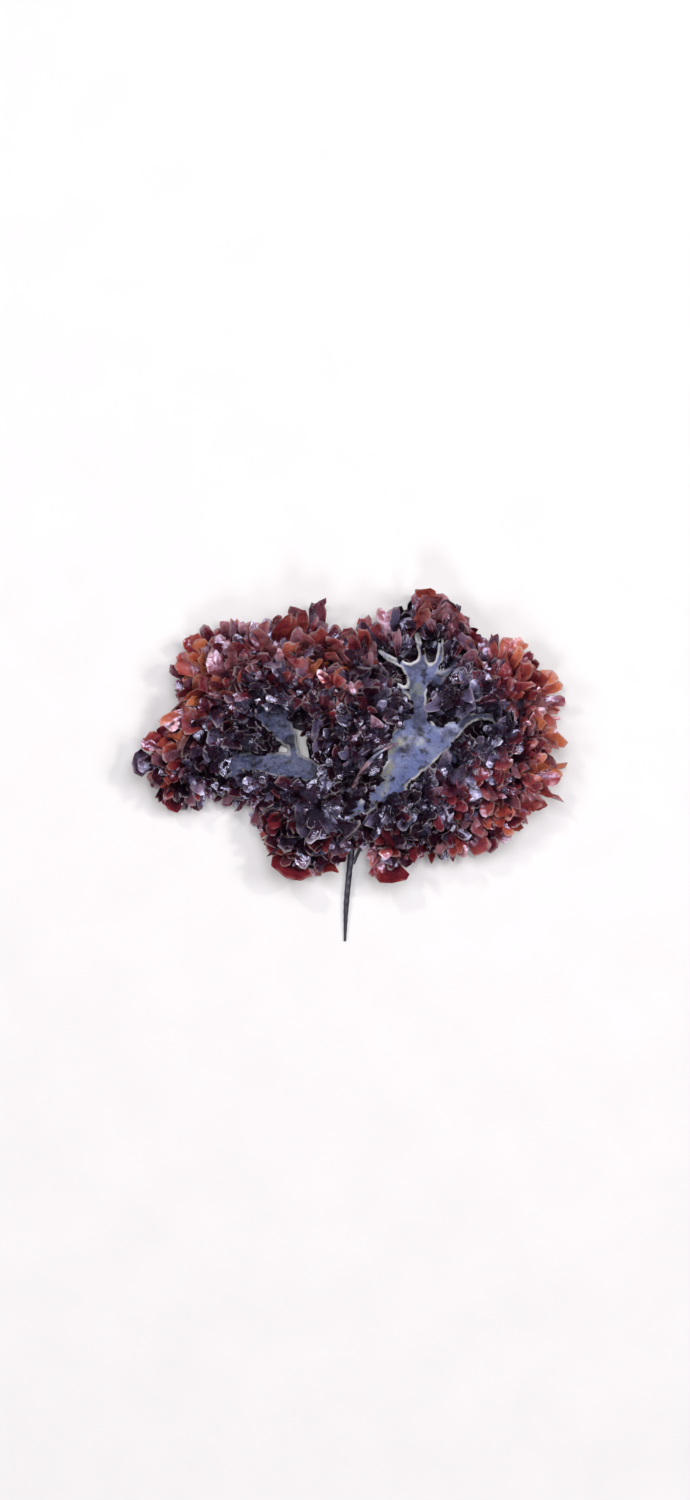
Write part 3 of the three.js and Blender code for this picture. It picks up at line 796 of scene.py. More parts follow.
def window_gap(points):
    """Distance to the nearest of the small windows that go right through the frond."""
    nearest = np.full(len(points), 1e3)
    for start, end, half in WINDOWS:
        start, way = np.array(start), np.array(end) - np.array(start)
        share = np.clip(((points - start) @ way) / (way @ way), 0, 1)
        nearest = np.minimum(nearest, np.linalg.norm(points - start - share[:, None] * way, axis=1) - half)
    return nearest


# %% The outline, seen from above
OUTLINE = [
    (0, 44), (2, 50), (9, 53), (15, 55), (21, 52), (22, 58), (28, 62), (36, 58), (36, 53), (43, 51),
    (49, 46), (61, 43), (63, 36), (73, 33), (75, 27), (70, 22), (75, 13), (73, 3), (75, -4), (74, -12),
    (67, -19), (59, -21), (54, -28), (45, -31), (31, -33), (23, -36), (15, -40), (10, -36), (7, -28),
    (0, -31), (-3, -32), (-10, -37), (-23, -38), (-26, -31), (-32, -19), (-43, -13), (-57, -14),
    (-67, -10), (-70, -3), (-75, 1), (-70, 11), (-60, 14), (-55, 17), (-58, 23), (-61, 30), (-60, 38),
    (-54, 47), (-44, 46), (-43, 51), (-38, 51), (-32, 47), (-24, 51), (-19, 55), (-13, 52), (-12, 57),
    (-8, 56), (-8, 49), (-3, 46),
]
OUTLINE_SPARE = 1.6


def beyond_outline(points):
    """True where a point lies outside the frond's outline by more than the spare."""
    start = np.array(OUTLINE, dtype=float)
    way = np.roll(start, -1, axis=0) - start
    offset = points[:, None, :] - start[None]
    share = np.clip((offset * way).sum(axis=2) / (way**2).sum(axis=1), 0, 1)
    gap = np.linalg.norm(offset - share[:, :, None] * way, axis=2).min(axis=1)
    left_of = way[:, 0] * offset[:, :, 1] - way[:, 1] * offset[:, :, 0] > 0
    rising = (offset[:, :, 1] >= 0) & (offset[:, :, 1] < way[:, 1])
    falling = (offset[:, :, 1] < 0) & (offset[:, :, 1] >= way[:, 1])
    turns = (rising & left_of).sum(axis=1) - (falling & ~left_of).sum(axis=1)
    return (turns == 0) & (gap > OUTLINE_SPARE)


# %% How far a lobe may reach
FIRST_LOOK, LOOK_STEP = 2.5, 0.5


def clear_length(spot, way, reach, overlap):
    """How far a lobe may reach before it covers a window, an open blade or the outline."""
    steps = np.arange(FIRST_LOOK, reach, LOOK_STEP)
    line = np.array([[spot.x + way.x * step, spot.y + way.y * step] for step in steps]).reshape(-1, 2)
    covered = (edge_field(line, open_straps) < -overlap) | (window_gap(line) < 0) | beyond_outline(line)
    return steps[covered][0] if covered.any() else reach


print("windows:", len(WINDOWS), "corners of the outline:", len(OUTLINE))

# %% [markdown]
# ## How lobes differ from place to place
# Lobes far from the blades are thin and red to orange, steep ones are dark, and some places have broad
# or pointed lobes, or a painted sheen of mirrored sky in lavender or pink. Each lobe could be painted by
# hand, but there are hundreds. Short lists of places do it: the nearer a lobe ends to one, the more it takes
# on.

# %% Places with lobes of their own kind: x, y and size
BROAD_PLACES = [(-54, 34, 14), (-20, -33, 10), (31, 57, 9), (58, 42, 8)]
POINTED_PLACES = [(75, 5, 16), (73, -12, 12), (72, 28, 10), (-42, 50, 9), (44, 50, 8), (32, -36, 10)]
THIN_PLACES = [
    (-55, 36, 9), (-66, 9, 6), (-12, 42, 6), (4, 47, 6), (43, 46, 6), (59, 43, 7), (27, 59, 5),
    (8.5, 9.5, 4.5), (74, 29, 6), (77, 16, 7), (77, 4, 7), (77, -8, 7), (61, -20, 5),
]
# Places of painted sheen, where lobes mirror the sky, and of pink painted sheen along the top edge
SHEEN_PLACES = [(22, 45, 9), (33, 44, 7), (37, 35, 6), (47, 30, 6), (61, 25, 5), (59, 14, 5)]
PINK_SHEEN_PLACES = [(29, 58, 8), (43, 50, 6), (13, 52, 6), (2, 48, 4), (-10, 54, 5), (-26, 50, 6), (-42, 48, 6)]


def nearness(place, spots):
    """Near 1 at one of the spots, and 0 far from all of them. Each spot has its own size."""
    return max(math.exp(-(((place.x - x) ** 2 + (place.y - y) ** 2) / size**2)) for x, y, size in spots)


def lobe_look(end, outside, rise, seed, lobe):
    """The tone of a lobe and the amount of painted sheen on it. Sines of its seed make neighbours differ."""
    tone = 0.05 + 0.43 * outside**1.5 + 0.5 * nearness(end, THIN_PLACES)
    tone += 0.24 * math.sin(2.9 * seed + 1.7 * lobe) - 0.2 * math.sin(rise)
    # The amount of painted sheen: random from lobe to lobe, and more near the sheen places
    sheen_amount = max(0.0, math.sin(12.9 * seed + 7.3 * lobe) - 0.4) / 0.6 * (1 - nearness(end, BROAD_PLACES))
    sheen_amount = max(sheen_amount, nearness(end, SHEEN_PLACES) * (0.6 + 0.4 * math.sin(5.1 * seed + 2.3 * lobe)))
    pink_sheen = nearness(end, PINK_SHEEN_PLACES) * (0.6 + 0.4 * math.sin(4.3 * seed + 3.1 * lobe))
    tone, sheen_amount = max(tone, 0.6 * pink_sheen), max(sheen_amount, 1.6 * pink_sheen)
    return min(1.0, max(0.0, tone)), sheen_amount


print("places:", len(THIN_PLACES), "thin,", len(SHEEN_PLACES), "in bloom,", len(PINK_SHEEN_PLACES), "pink_sheen")

# %% [markdown]
# ## Planting the fans
# A tuft carries several fans: a low one that reaches to the tuft's outer edge, and others that stand
# up behind it and to both sides, smaller and steeper. Each lobe of a fan has an anchor, one vertex with
# the fan's directions and sizes. Everything follows from the tuft's row and a running seed.

# %% The anchors of one fan
LOBE_WIDTH, LOBE_WIDTH_VARIETY, BROAD_WIDTH = 5.2, 1.3, 3.4
FEWEST_LOBES, MOST_LOBES = 3, 13
FULL_NOTCH = 0.63
SHORTEST_REACH = 4.5
FAN_ROLL = math.radians(28)
FAR_FROM_BLADES = 16.0
POINTED_SHARE = 0.8


def fan_axes(heading, rise, roll=0.0):
    """The directions of a fan that rises from a level heading and rolls about its own line."""
    forward = heading * math.cos(rise) + Vector((0, 0, math.sin(rise)))
    up = Vector((0, 0, math.cos(rise))) - heading * math.sin(rise)
    up = Matrix.Rotation(roll, 3, forward) @ up
    return {"forward": forward, "side": up.cross(forward), "up": up}


def fan_lobes(spot, heading, rise, reach, spread, seed, overlap=0.0, painted_shade=False):
    """The anchors of one fan, one for each lobe. Its heading is level, in millimetres and radians."""
    width = LOBE_WIDTH + LOBE_WIDTH_VARIETY * math.sin(11.7 * seed)
    width += BROAD_WIDTH * nearness(spot + heading * reach, BROAD_PLACES)
    count = max(FEWEST_LOBES, min(MOST_LOBES, round(reach * spread / width)))
    turns = [((k + 0.5) / count - 0.5) * spread for k in range(count)]
    ways = [Matrix.Rotation(turn, 3, "Z") @ heading for turn in turns]
    lengths = [clear_length(spot, way, reach, overlap) for way in ways]
    free = [k for k, length in enumerate(lengths) if length > FULL_NOTCH * reach]
    if len(free) >= FEWEST_LOBES:
        first, last = free[0], free[-1] + 1
        heading = Matrix.Rotation((turns[first] + turns[last - 1]) / 2, 3, "Z") @ heading
        ways, lengths = ways[first:last], lengths[first:last]
        spread, count = spread * (last - first) / count, last - first
    reach = min(reach, min(lengths) / FULL_NOTCH)
    if reach < SHORTEST_REACH:
        return
    axes = fan_axes(heading, rise, FAN_ROLL * math.sin(3 * seed))
    ends = [spot + way * reach for way in ways]
    outside = np.clip(edge_field(np.array([[end.x, end.y] for end in ends])) / FAR_FROM_BLADES, 0.0, 1.0)
    for lobe, (end, length) in enumerate(zip(ends, lengths)):
        # Lobes of the fringe are held at the darkest tone with no sheen, as painted shade
        tone, sheen_amount = (0.0, 0.0) if painted_shade else lobe_look(end, float(outside[lobe]), rise, seed, lobe)
        yield {
            "base": on_plan(*spot),
            **axes,
            "reach": reach * MM,
            "spread": spread,
            "seed": seed,
            "lobe": float(lobe),
            "lobes": float(count),
            "limit": length / reach,
            "tone": tone,
            "sheen_amount": sheen_amount,
            "point": POINTED_SHARE * nearness(end, POINTED_PLACES),
        }


# %% The fans of a tuft: degrees turned, degrees raised, size, degrees spread, and millimetres back and up
OUTER_FANS = [
    (0, 4, 1.00, 190, 0.0, 0.6),
    (25, 14, 0.90, 150, 1.0, 1.4),
    (-27, 19, 0.86, 150, 1.5, 1.8),
    (3, 30, 0.74, 160, 2.0, 2.4),
    (-62, 22, 0.62, 130, 3.0, 1.4),
    (64, 26, 0.62, 130, 3.0, 1.6),
]
UPPER_FANS = [
    (0, 6, 1.05, 200, 0.0, 0.6),
    (-35, 13, 0.90, 160, 1.0, 1.2),
    (38, 18, 0.86, 160, 1.0, 1.6),
    (0, 27, 0.74, 170, 1.5, 1.6),
    (84, 20, 0.60, 150, 2.0, 1.0),
    (-86, 22, 0.60, 150, 2.0, 1.0),
]
UPPER_HEIGHT = 5.0
FORESHORTENING = 0.86
SEED_STEP = 1.7
TURN_VARIETY, RISE_VARIETY, SIZE_VARIETY = 16, 9, 0.06


def tuft_lobes(row, seed):
    """The anchors of a tuft's fans."""
    _, base, tip = row
    way = Vector((tip[0] - base[0], tip[1] - base[1], 0.0))
    kinds = UPPER_FANS if base[2] > UPPER_HEIGHT else OUTER_FANS
    for order, (turn, rise, size, spread, back, raised) in enumerate(kinds):
        own = seed + SEED_STEP * order / len(kinds)
        turn = math.radians(turn + TURN_VARIETY * math.sin(5.3 * own))
        heading = Matrix.Rotation(turn, 3, "Z") @ way.normalized()
        spot = Vector(base) - way.normalized() * back + Vector((0, 0, raised))
        reach = way.length / FORESHORTENING * size * (1 + SIZE_VARIETY * math.sin(7.1 * own))
        rise = math.radians(rise + RISE_VARIETY * math.sin(3.7 * own))
        yield from fan_lobes(spot, heading, rise, reach, math.radians(spread), own)


print("fans of a tuft:", len(OUTER_FANS), "in a low one,", len(UPPER_FANS), "in an upper one")

# %% [markdown]
# A few lobes stand alone at the outline. The rule for tufts can't know them, so each has a row of its
# own and becomes a fan with a single lobe.

# %% Lobes that stand alone: root, tip, height, degrees spread, degrees raised, tone and amount of painted sheen
LONE_LOBES = {
    "left_top": [
        ((-8.5, 40), (-10, 57.5), 4.0, 16, 4, 0.35, 0.2),
        ((-9.5, 52), (-11.0, 58), 4.5, 60, 20, 0.4, 0.3),
        ((-43, 41), (-43, 52.5), 5.0, 34, 12, 0.55, 0.9),
        ((-36, 42), (-38, 52.5), 6.0, 28, 14, 0.45, 1.2),
        ((-25, 43), (-24, 53), 5.0, 26, 12, 0.45, 0.2),
        ((-19, 44), (-19, 56), 5.0, 22, 14, 0.45, 1.0),
        ((-51, 38), (-55.5, 47.5), 5.0, 70, 12, 0.70, 0.1),
    ],
    "left_side": [
        ((-66, 1.5), (-75.5, 1), 3.0, 80, 8, 0.2, 0.9),
        ((-57, -10), (-63, -15.5), 2.5, 60, 10, 0.5, 0.0),
    ],
    "left_low": [
        ((-15, -25), (-22, -38), 3.0, 70, 6, 0.45, 0.0),
        ((-9, -26), (-12, -37), 4.0, 60, 8, 0.30, 0.2),
        ((-20, -21), (-28, -29), 3.5, 66, 8, 0.40, 0.1),
    ],
    "right_low": [
        ((52, -16), (60.5, -23.5), 1.5, 26, 2, 0.7, 0.0),
        ((13, -28), (15, -41), 2.5, 60, 8, 0.5, 0.0),
    ],
    "right_top": [
        ((27, 49), (24, 60), 6.0, 60, 24, 0.55, 1.6),
        ((31, 50), (32.5, 62), 5.0, 52, 14, 0.60, 1.4),
        ((29, 50), (28, 62), 7.5, 44, 22, 0.65, 1.0),
        ((33, 48), (36, 57), 7.0, 56, 20, 0.60, 1.6),
    ],
}


def lone_lobes(rows, seed):
    """The anchors of lobes that stand alone."""
    for order, (root, tip, height, spread, rise, tone, sheen_amount) in enumerate(rows):
        way = Vector((tip[0] - root[0], tip[1] - root[1], 0.0))
        yield {
            "base": on_plan(*root, height),
            **fan_axes(way.normalized(), math.radians(rise)),
            "reach": way.length / FORESHORTENING * MM,
            "spread": math.radians(spread),
            "seed": seed + SEED_STEP * order,
            "lobe": 0.0,
            "lobes": 1.0,
            "limit": 1.0,
            "tone": tone,
            "sheen_amount": sheen_amount,
            "point": 0.0,
        }


print("lone lobes:", sum(len(rows) for rows in LONE_LOBES.values()))

# %% [markdown]
# ## From anchors to meshes
# The fans could stay as a live tree on an object, but a part in a library is a plain mesh. So every
# group of tufts gets one vertex for each lobe, the tree runs on them once, and its result is kept.


# %% From anchors to a plain mesh
def linked(name, data):
    """A new object of that name, in the scene."""
    thing = bpy.data.objects.new(name, data)
    bpy.context.collection.objects.link(thing)
    return thing


def anchor_mesh(name, anchors):
    """One vertex for each anchor, with its numbers as attributes."""
    mesh = bpy.data.meshes.new(name)
    mesh.from_pydata([anchor["base"] for anchor in anchors], [], [])
    for key, value in anchors[0].items():
        vector = isinstance(value, Vector)
        kind = "FLOAT_VECTOR" if vector else "FLOAT"
        values = [number for anchor in anchors for number in (anchor[key] if vector else (anchor[key],))]
        mesh.attributes.new(key, kind, "POINT").data.foreach_set("vector" if vector else "value", values)
    return mesh


def grown(name, mesh, tree, values):
    """The mesh run through a tree and kept as a plain mesh object of that name."""
    seedling = linked(name + "_anchors", mesh)
    modifier = seedling.modifiers.new(name, "NODES")
    modifier.node_group = tree
    for item in tree.interface.items_tree:
        if item.item_type == "SOCKET" and item.in_out == "INPUT" and item.name in values:
            modifier[item.identifier] = values[item.name]
    evaluated = seedling.evaluated_get(bpy.context.evaluated_depsgraph_get())
    plain = bpy.data.meshes.new_from_object(evaluated)
    bpy.data.objects.remove(seedling)
    plain.name = name
    return linked(name, plain)


def triangles(piece):
    return sum(len(face.vertices) - 2 for face in piece.data.polygons)


# %% The tufts of every group
FIRST_SEED, GROUP_SEED_STEP = 1.0, 11.3
tuft_pieces = {}
for number, (group, rows) in enumerate(TUFTS.items()):
    anchors = []
    for index, row in enumerate(rows):
        anchors += tuft_lobes(row, FIRST_SEED + GROUP_SEED_STEP * number + SEED_STEP * index)
    anchors += lone_lobes(LONE_LOBES.get(group, []), number)
    piece = grown(group + "_tufts", anchor_mesh(group, anchors), fan_tree, FAN_VALUES)
    tuft_pieces[group] = piece
    print(piece.name, len(anchors), "lobes,", triangles(piece), "triangles")

# %% [markdown]
# Under the blades' edges the frond is painted darker still, as shade: small low fans stick out on both
# sides of every blade, so the surface shows only in a few small windows. They follow the blades' lines.

# %% The fringe along the blades, painted near-black as shade
FRINGE_STEP = 3.6
FRINGE_REACH, FRINGE_REACH_VARIETY = 8.5, 1.5
FRINGE_TURN, FRINGE_TURN_VARIETY = 72, 14
FRINGE_RISE, FRINGE_RISE_VARIETY = 5, 6
FRINGE_SPREAD = math.radians(150)
FRINGE_HEIGHT = 0.9
FRINGE_OVERLAP = 1.0
FRINGE_INSET = 0.6


def fringe_lobes():
    """The anchors of small fans on both sides of every strap."""
    for blade, (line, half) in enumerate(strap_lines.values()):
        lengths = np.concatenate([[0], np.cumsum(np.linalg.norm(np.diff(line, axis=0), axis=1))])
        for stop, along in enumerate(np.arange(FRINGE_STEP, lengths[-1], FRINGE_STEP)):
            k = int(np.searchsorted(lengths, along)) - 1
            growth = Vector((*(line[k + 1] - line[k]), 0)).normalized()
            for hand in (-1, 1):
                seed = 3.1 * blade + 0.7 * stop + 0.35 * hand
                turn = hand * math.radians(FRINGE_TURN + FRINGE_TURN_VARIETY * math.sin(4 * seed))
                heading = Matrix.Rotation(turn, 3, "Z") @ growth
                sideways = Vector((-growth.y, growth.x, 0)) * hand * half[k] * FRINGE_INSET
                spot = Vector((*line[k], FRINGE_HEIGHT)) + sideways
                reach = FRINGE_REACH + 0.4 * half[k] + FRINGE_REACH_VARIETY * math.sin(2.3 * seed)
                rise = math.radians(FRINGE_RISE + FRINGE_RISE_VARIETY * math.sin(5 * seed))
                yield from fan_lobes(
                    spot, heading, rise, reach, FRINGE_SPREAD, seed, FRINGE_OVERLAP, painted_shade=True
                )


fringe_anchors = list(fringe_lobes())
fringe_values = {**FAN_VALUES, "Material": shaded_lobe}
fringe = grown("blade_fringe", anchor_mesh("fringe", fringe_anchors), fan_tree, fringe_values)
print(fringe.name, len(fringe_anchors), "lobes,", triangles(fringe), "triangles")

# %% [markdown]
# ## Stalks, stipe and side shoot
# A tuft hangs on its blade by a short flat stalk, and the stipe is the same thing grown round. All of
# them are lines with a width that changes along them, so one tree sweeps an oval along a line.

# %% A tree that sweeps an oval along lines
strap_tree, strap_input = new_tree("Straps", {"Sides": "Int", "Flatness": "Float", "Material": "Material"})


def swept(source):
    """A closed tube along every line, as wide as the line says and flatter than it is wide."""
    line = source.make("GeometryNodeMeshToCurve", None, {"Mesh": source.out("Geometry")})
    line = source.make("GeometryNodeSetCurveNormal", {"mode": "Z_UP"}, {"Curve": line})
    ring = source.make(
        "GeometryNodeCurvePrimitiveCircle", None, {"Resolution": source.out("Sides"), "Radius": 1.0}
    )
    scale = source.make("ShaderNodeCombineXYZ", None, {0: 1.0, 1: source.out("Flatness"), 2: 1.0})
    oval = source.make("GeometryNodeTransform", None, {"Geometry": ring, "Scale": scale})
    tube = source.make(
        "GeometryNodeCurveToMesh",
        None,
        {"Curve": line, "Profile Curve": oval, "Scale": named(source, "half_width"), "Fill Caps": True},
    )
    smooth = source.make("GeometryNodeSetShadeSmooth", None, {"Geometry": tube})
    return source.make("GeometryNodeRealizeInstances", None, {"Geometry": smooth})


finish_tree(strap_input, swept(strap_input))
print("strap tree:", len(strap_tree.nodes), "nodes")


# %% Lines with a width
def line_mesh(name, lines):
    """Lines of plan points with half widths and a flush, as vertices and edges."""
    mesh = bpy.data.meshes.new(name)
    places, edges, widths, flushes = [], [], [], []
    for line, half_widths, flush in lines:
        first = len(places)
        places += [on_plan(*point) for point in line]
        edges += [(first + k, first + k + 1) for k in range(len(line) - 1)]
        widths += [width * MM for width in half_widths]
        flushes += [flush] * len(line)
    mesh.from_pydata(places, edges, [])
    mesh.attributes.new("half_width", "FLOAT", "POINT").data.foreach_set("value", widths)
    mesh.attributes.new("flush", "FLOAT", "POINT").data.foreach_set("value", flushes)
    return mesh


def tapered(path, half_widths, count, flush=0.0):
    """A smooth line through a path, with half widths that run from point to point and waver a little."""
    points = spline(path, count)
    widths = np.interp(np.linspace(0, len(path) - 1, count), range(len(path)), half_widths)
    return points, widths * (1 + 0.05 * np.sin(np.arange(count) * 1.3)), flush


# %% The line of a tuft's stalk
STALK_START_HEIGHT = 0.9
STALK_SAG = 0.4
STALK_END_RISE = 0.6
STALK_HALF_WIDTHS = (1.7, 1.5, 2.0)
STALK_STEPS = 14


def stalk_line(row, seed):
    """From the blade to the place where the tuft's fans start, sagging a little."""
    start, base, _ = row
    height = (STALK_START_HEIGHT + base[2]) / 2 - STALK_SAG
    middle = ((start[0] + base[0]) / 2, (start[1] + base[1]) / 2, height)
    end = (base[0], base[1], base[2] + STALK_END_RISE)
    points = spline([(*start, STALK_START_HEIGHT), middle, end], STALK_STEPS)
    widths = np.interp(np.linspace(0, 2, STALK_STEPS), (0, 1, 2), STALK_HALF_WIDTHS)
    return points, widths * (1 + 0.12 * np.sin(np.arange(STALK_STEPS) * 0.9 + seed)), 0.0


# %% The stalks of each group, and thin flushed straps that cross in the open
CROSSING_STRAPS = {
    "middle": [
        ((-7, -3, 4.0), (1, 2, 9.0), (8, 7, 10.0), (14, 11, 7.0)),
        ((-9, -1, 4.0), (-2, 5, 9.0), (4, 12, 10.0), (7, 18, 7.0)),
        ((1, -8, 3.0), (5, -1, 8.0), (11, 5, 9.0), (17, 8, 5.0)),
    ],
}
CROSSING_HALF_WIDTHS = (0.5, 0.8, 0.7, 0.4)
stalk_values = {"Sides": 12, "Flatness": 0.42, "Material": wet_stalk}
stalk_pieces = {}
for number, (group, rows) in enumerate(TUFTS.items()):
    lines = [stalk_line(row, 1.3 * index + number) for index, row in enumerate(rows)]
    for crossing in CROSSING_STRAPS.get(group, []):
        lines.append(tapered(crossing, CROSSING_HALF_WIDTHS, STALK_STEPS, flush=1.0))
    stalks = line_mesh(group + "_lines", lines)
    stalk_pieces[group] = grown(group + "_stalks", stalks, strap_tree, stalk_values)
print("stalks:", sum(triangles(piece) for piece in stalk_pieces.values()), "triangles")

# %% The stipe and its side shoot
STIPE_PATH = [(-1.4, -61, 0.45), (-0.9, -48, 1.1), (0.3, -35, 1.1), (2, -18.5, 1.1)]
STIPE_HALF_WIDTHS = (0.42, 0.95, 1.05, 1.2)
SHOOT_PATH = [(1.5, -34, 0.6), (4, -29, 0.6), (7.5, -26, 0.8), (10.5, -25, 1.4)]
SHOOT_HALF_WIDTHS = (0.6, 0.5, 0.48, 0.42)
STIPE_STEPS, SHOOT_STEPS = 60, 24
stem_values = {"Sides": 16, "Flatness": 0.9, "Material": wet_stipe}
stipe_line = line_mesh("stipe_line", [tapered(STIPE_PATH, STIPE_HALF_WIDTHS, STIPE_STEPS)])
stipe = grown("stipe_skin", stipe_line, strap_tree, stem_values)
shoot_line = line_mesh("shoot_line", [tapered(SHOOT_PATH, SHOOT_HALF_WIDTHS, SHOOT_STEPS)])
shoot = grown("side_shoot", shoot_line, strap_tree, stem_values)
print("stipe and shoot:", triangles(stipe), triangles(shoot), "triangles")

# %% [markdown]
# ## The sheet of the blades
# On the frond the blades are one leathery sheet with a thin, slightly raised margin. Straps could be
# modelled one by one and joined, but every joint would show. So a fine grid is kept where the blended
# field lies inside the blades, and its border slides onto the edge. The crown, the raised margin and
# the underside are heights over that grid, and a thin wall closes the rim.

# %% The grid inside the field
BLADE_STEP = 0.5
BLADE_RANGE = ((-60, 60), (-32, 52))
GRID_SPARE = 0.4 * BLADE_STEP
BORDER_SLIDE = 0.48 * BLADE_STEP
SLIDES = 4


def blade_mesh():
    """The grid's points, faces and rim, and how deep each point lies inside the edge."""
    xs, ys = (np.arange(low, high, BLADE_STEP) for low, high in BLADE_RANGE)
    points = np.stack(np.meshgrid(xs, ys, indexing="ij"), axis=2).reshape(-1, 2)
    close = edge_field(points) < GRID_SPARE
    number = np.arange(len(points)).reshape(len(xs), len(ys))
    corners = [number[:-1, :-1], number[1:, :-1], number[1:, 1:], number[:-1, 1:]]
    quads = np.stack(corners, axis=2).reshape(-1, 4)
    quads = quads[close[quads].all(axis=1)]
    used, quads = np.unique(quads, return_inverse=True)
    quads = quads.reshape(-1, 4)
    points = points[used]
    sides = np.stack([quads, np.roll(quads, -1, axis=1)], axis=2).reshape(-1, 2)
    _, back, times = np.unique(np.sort(sides, axis=1), axis=0, return_inverse=True, return_counts=True)
    rim = sides[times[back.reshape(-1)] == 1]
    border = np.unique(rim)
    home = points[border].copy()
    for _ in range(SLIDES):
        slope = edge_slope(points[border])
        steep = np.maximum((slope**2).sum(axis=1), 0.05)
        points[border] -= slope * (edge_field(points[border]) / steep)[:, None]
    points[border] = home + np.clip(points[border] - home, -BORDER_SLIDE, BORDER_SLIDE)
    depth = np.maximum(-edge_field(points), 0.0)
    depth[border] = 0.0
    return points, quads, rim, depth


blade_points, blade_quads, blade_rim, blade_depth = blade_mesh()
print("blade sheet:", len(blade_quads), "faces, deepest", round(float(blade_depth.max()), 1), "mm in")

# %% The height of the upper face, and the places lifted over the lobes: x, y, size and lift
MARGIN_HEIGHT = 1.5
BLADE_RISE = 0.4
LIFTED_PLACES = [
    (24, 41, 11, 3.0), (49, 18, 8, 3.0), (-34, 22, 7, 3.0), (12, 36, 8, 3.0),
    (12, -11, 5, 1.0), (18, -8, 5, 1.0), (23, -4, 5, 1.0), (28, -0.5, 5, 1.0), (33, 5, 5, 1.0),
]


def blade_heights(points, depth):
    """A swelling crown, a raised margin and the lifted places."""
    x, y = points[:, 0], points[:, 1]
    swell = 0.3 * np.sin(0.33 * x + 0.21 * y) * np.cos(0.27 * y - 0.12 * x)
    swell = swell + 0.07 * np.sin(0.9 * x - 0.5 * y)
    crown = 1 - np.exp(-depth / 0.7)
    margin = 0.22 * np.exp(-(((depth - 0.55) / 0.4) ** 2))
    lift = sum(up * np.exp(-((x - px) ** 2 + (y - py) ** 2) / size**2) for px, py, size, up in LIFTED_PLACES)
    return MARGIN_HEIGHT + lift + crown * (BLADE_RISE + swell) + margin * crown


# %% Both faces and the wall at the rim
SKIN = 0.06
RIM_THICKNESS = 0.12


def blades_object():
    """The closed sheet as an object."""
    top = blade_heights(blade_points, blade_depth)
    under = SKIN + 0.2 * np.exp(-blade_depth / 0.6)
    border = np.unique(blade_rim)
    under[border] = top[border] - RIM_THICKNESS
    places = [on_plan(x, y, z) for height in (top, under) for (x, y), z in zip(blade_points, height)]
    count = len(blade_points)
    first, second = blade_rim.T
    walls = np.stack([second, first, first + count, second + count], axis=1)
    faces = [*blade_quads.tolist(), *(blade_quads[:, ::-1] + count).tolist(), *walls.tolist()]
    mesh = bpy.data.meshes.new("blades")
    mesh.from_pydata(places, [], faces)
    edge = np.concatenate([blade_depth, blade_depth])
    mesh.attributes.new("edge", "FLOAT", "POINT").data.foreach_set("value", edge)
    mesh.polygons.foreach_set("use_smooth", [True] * len(mesh.polygons))
    mesh.materials.append(wet_blade)
    return linked("blades", mesh)


blades = blades_object()
print("blades:", triangles(blades), "triangles")

# %% [markdown]
# ## The pieces stand for the solids
# Every piece rides on the one body, and the solids it stands for are hidden.


# %% Hand the pieces over
def hand_over(piece, nodes):
    """One piece on the body, with the solids it stands for hidden."""
    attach(piece, "root")
    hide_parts(*nodes)


hand_over(stipe, ["stipe"])
hand_over(shoot, ["stipe_side_shoot"])
hand_over(blades, list(BLADES))
hand_over(fringe, list(BLADES))
for group, rows in TUFTS.items():
    nodes = [f"{group}_tuft_{index + 1}" for index in range(len(rows))]
    hand_over(tuft_pieces[group], nodes)
    hand_over(stalk_pieces[group], nodes)
shown = [stipe, shoot, blades, fringe, *tuft_pieces.values(), *stalk_pieces.values()]
print("pieces:", len(shown), "triangles:", sum(triangles(piece) for piece in shown))

# %% [markdown]
# ## The studio
# The frond lies on a pale floor under soft light. One broad panel overhead is the sky that the wet
# film mirrors, three smaller panels around it light the lobes' flanks, and two small lamps make crisp
# glints. The camera looks straight down, as the frond was laid out and photographed.

# %% The floor
FLOOR_SIZE = 6.0
FLOOR_DARK, FLOOR_LIGHT = (0.60, 0.587, 0.535), (0.62, 0.606, 0.552)


def floor_material():
    """A dull, pale finish with a faint grain."""
    material, start, place = new_material("pale_floor")
    colour = place.noise(40.0, 3.0).ramp((0.3, FLOOR_DARK), (0.7, FLOOR_LIGHT))
    shader = start.make("ShaderNodeBsdfPrincipled", None, {"Base Color": colour, "Roughness": 0.8})
    start.make("ShaderNodeOutputMaterial", None, {"Surface": shader})
    return material


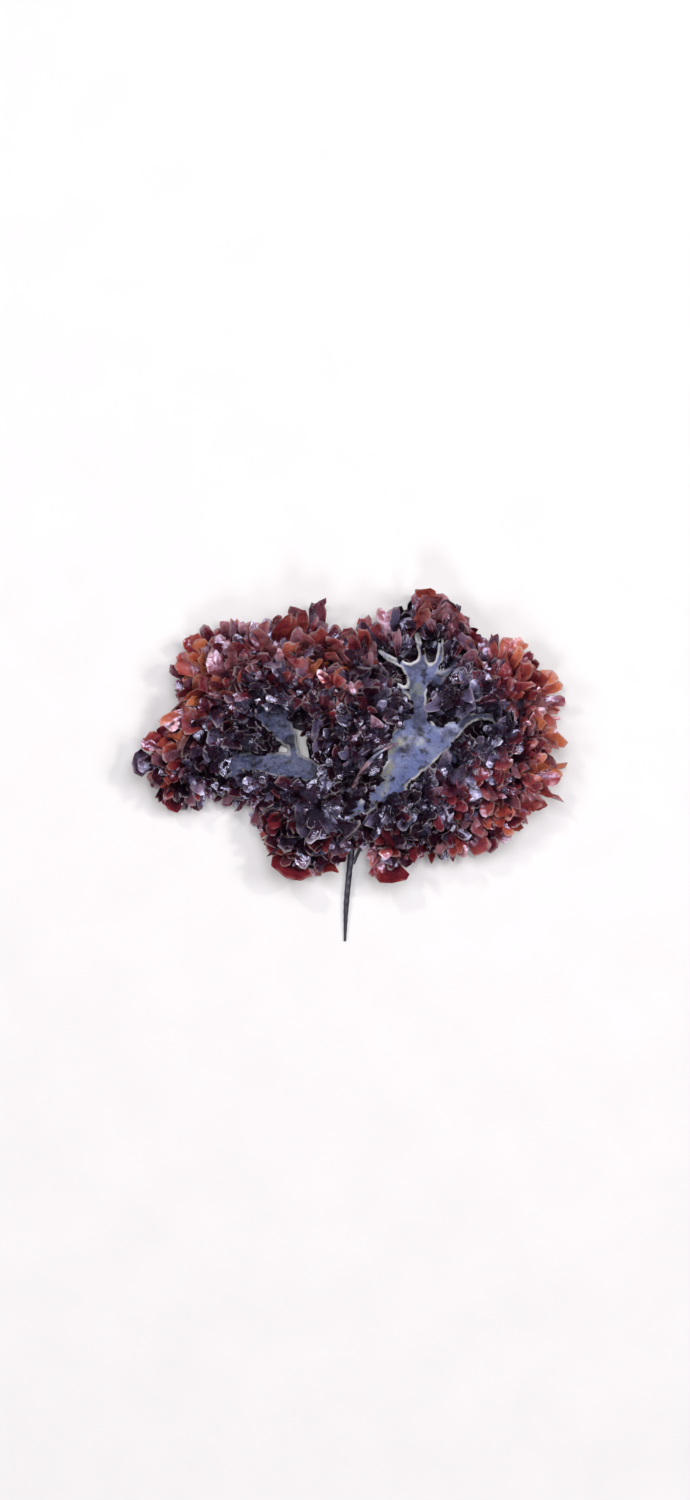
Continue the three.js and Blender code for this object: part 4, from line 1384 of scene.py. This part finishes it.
half_floor = FLOOR_SIZE / 2
floor_corners = [(x * half_floor, y * half_floor, 0) for x, y in ((-1, -1), (1, -1), (1, 1), (-1, 1))]
floor_mesh = bpy.data.meshes.new("floor")
floor_mesh.from_pydata(floor_corners, [], [(0, 1, 2, 3)])
floor_mesh.materials.append(floor_material())
floor = linked("floor", floor_mesh)
print("floor:", FLOOR_SIZE, "m wide")

# %% The lights: name, place and size in metres, watts and colour
PANELS = [
    ("sky_panel", (0.15, 0.50, 1.80), 1.05, 30.5, (0.85, 0.85, 1.0)),
    ("left_panel", (-1.25, 0.2, 1.35), 0.5, 11.0, (0.90, 0.89, 1.0)),
    ("right_panel", (1.25, 0.1, 1.35), 0.5, 11.0, (0.90, 0.89, 1.0)),
    ("front_panel", (-0.1, -1.25, 1.35), 0.5, 11.0, (0.92, 0.90, 1.0)),
    ("key_lamp", (-0.55, 0.75, 1.0), 0.10, 3.8, (1.0, 0.97, 0.93)),
    ("side_lamp", (0.7, 0.3, 0.9), 0.10, 3.4, (1.0, 0.97, 0.95)),
]
for name, place, size, watts, colour in PANELS:
    light = bpy.data.lights.new(name, "AREA")
    light.shape = "SQUARE"
    light.size = size
    light.energy = watts
    light.color = colour
    lamp = linked(name, light)
    lamp.location = place
    lamp.rotation_euler = (-Vector(place)).to_track_quat("-Z", "Y").to_euler()
print("lights:", [row[0] for row in PANELS])

# %% A faint, bluish light from all sides
SURROUND_COLOUR = (0.82, 0.86, 1.0, 1.0)
SURROUND_STRENGTH = 0.015
world = bpy.data.worlds.new("studio")
world.use_nodes = True
background = world.node_tree.nodes["Background"]
background.inputs["Color"].default_value = SURROUND_COLOUR
background.inputs["Strength"].default_value = SURROUND_STRENGTH
bpy.context.scene.world = world
print("surround:", world.name)

# %% The camera, straight above
VIEW_MIDDLE = (-1.38, 5.52, 12.0)
VIEW_HEIGHT = 0.5175
LENS = 85.0
SENSOR = 36.0
camera = bpy.data.cameras.new("camera")
camera.lens = LENS
camera.sensor_width = SENSOR
camera_object = linked("camera", camera)
camera_object.location = on_plan(*VIEW_MIDDLE) + Vector((0, 0, VIEW_HEIGHT * LENS / SENSOR))
bpy.context.scene.camera = camera_object
bpy.context.scene.view_settings.view_transform = "Standard"
bpy.context.scene.view_settings.exposure = 0.0
print("camera height in m:", round(camera_object.location.z, 3))
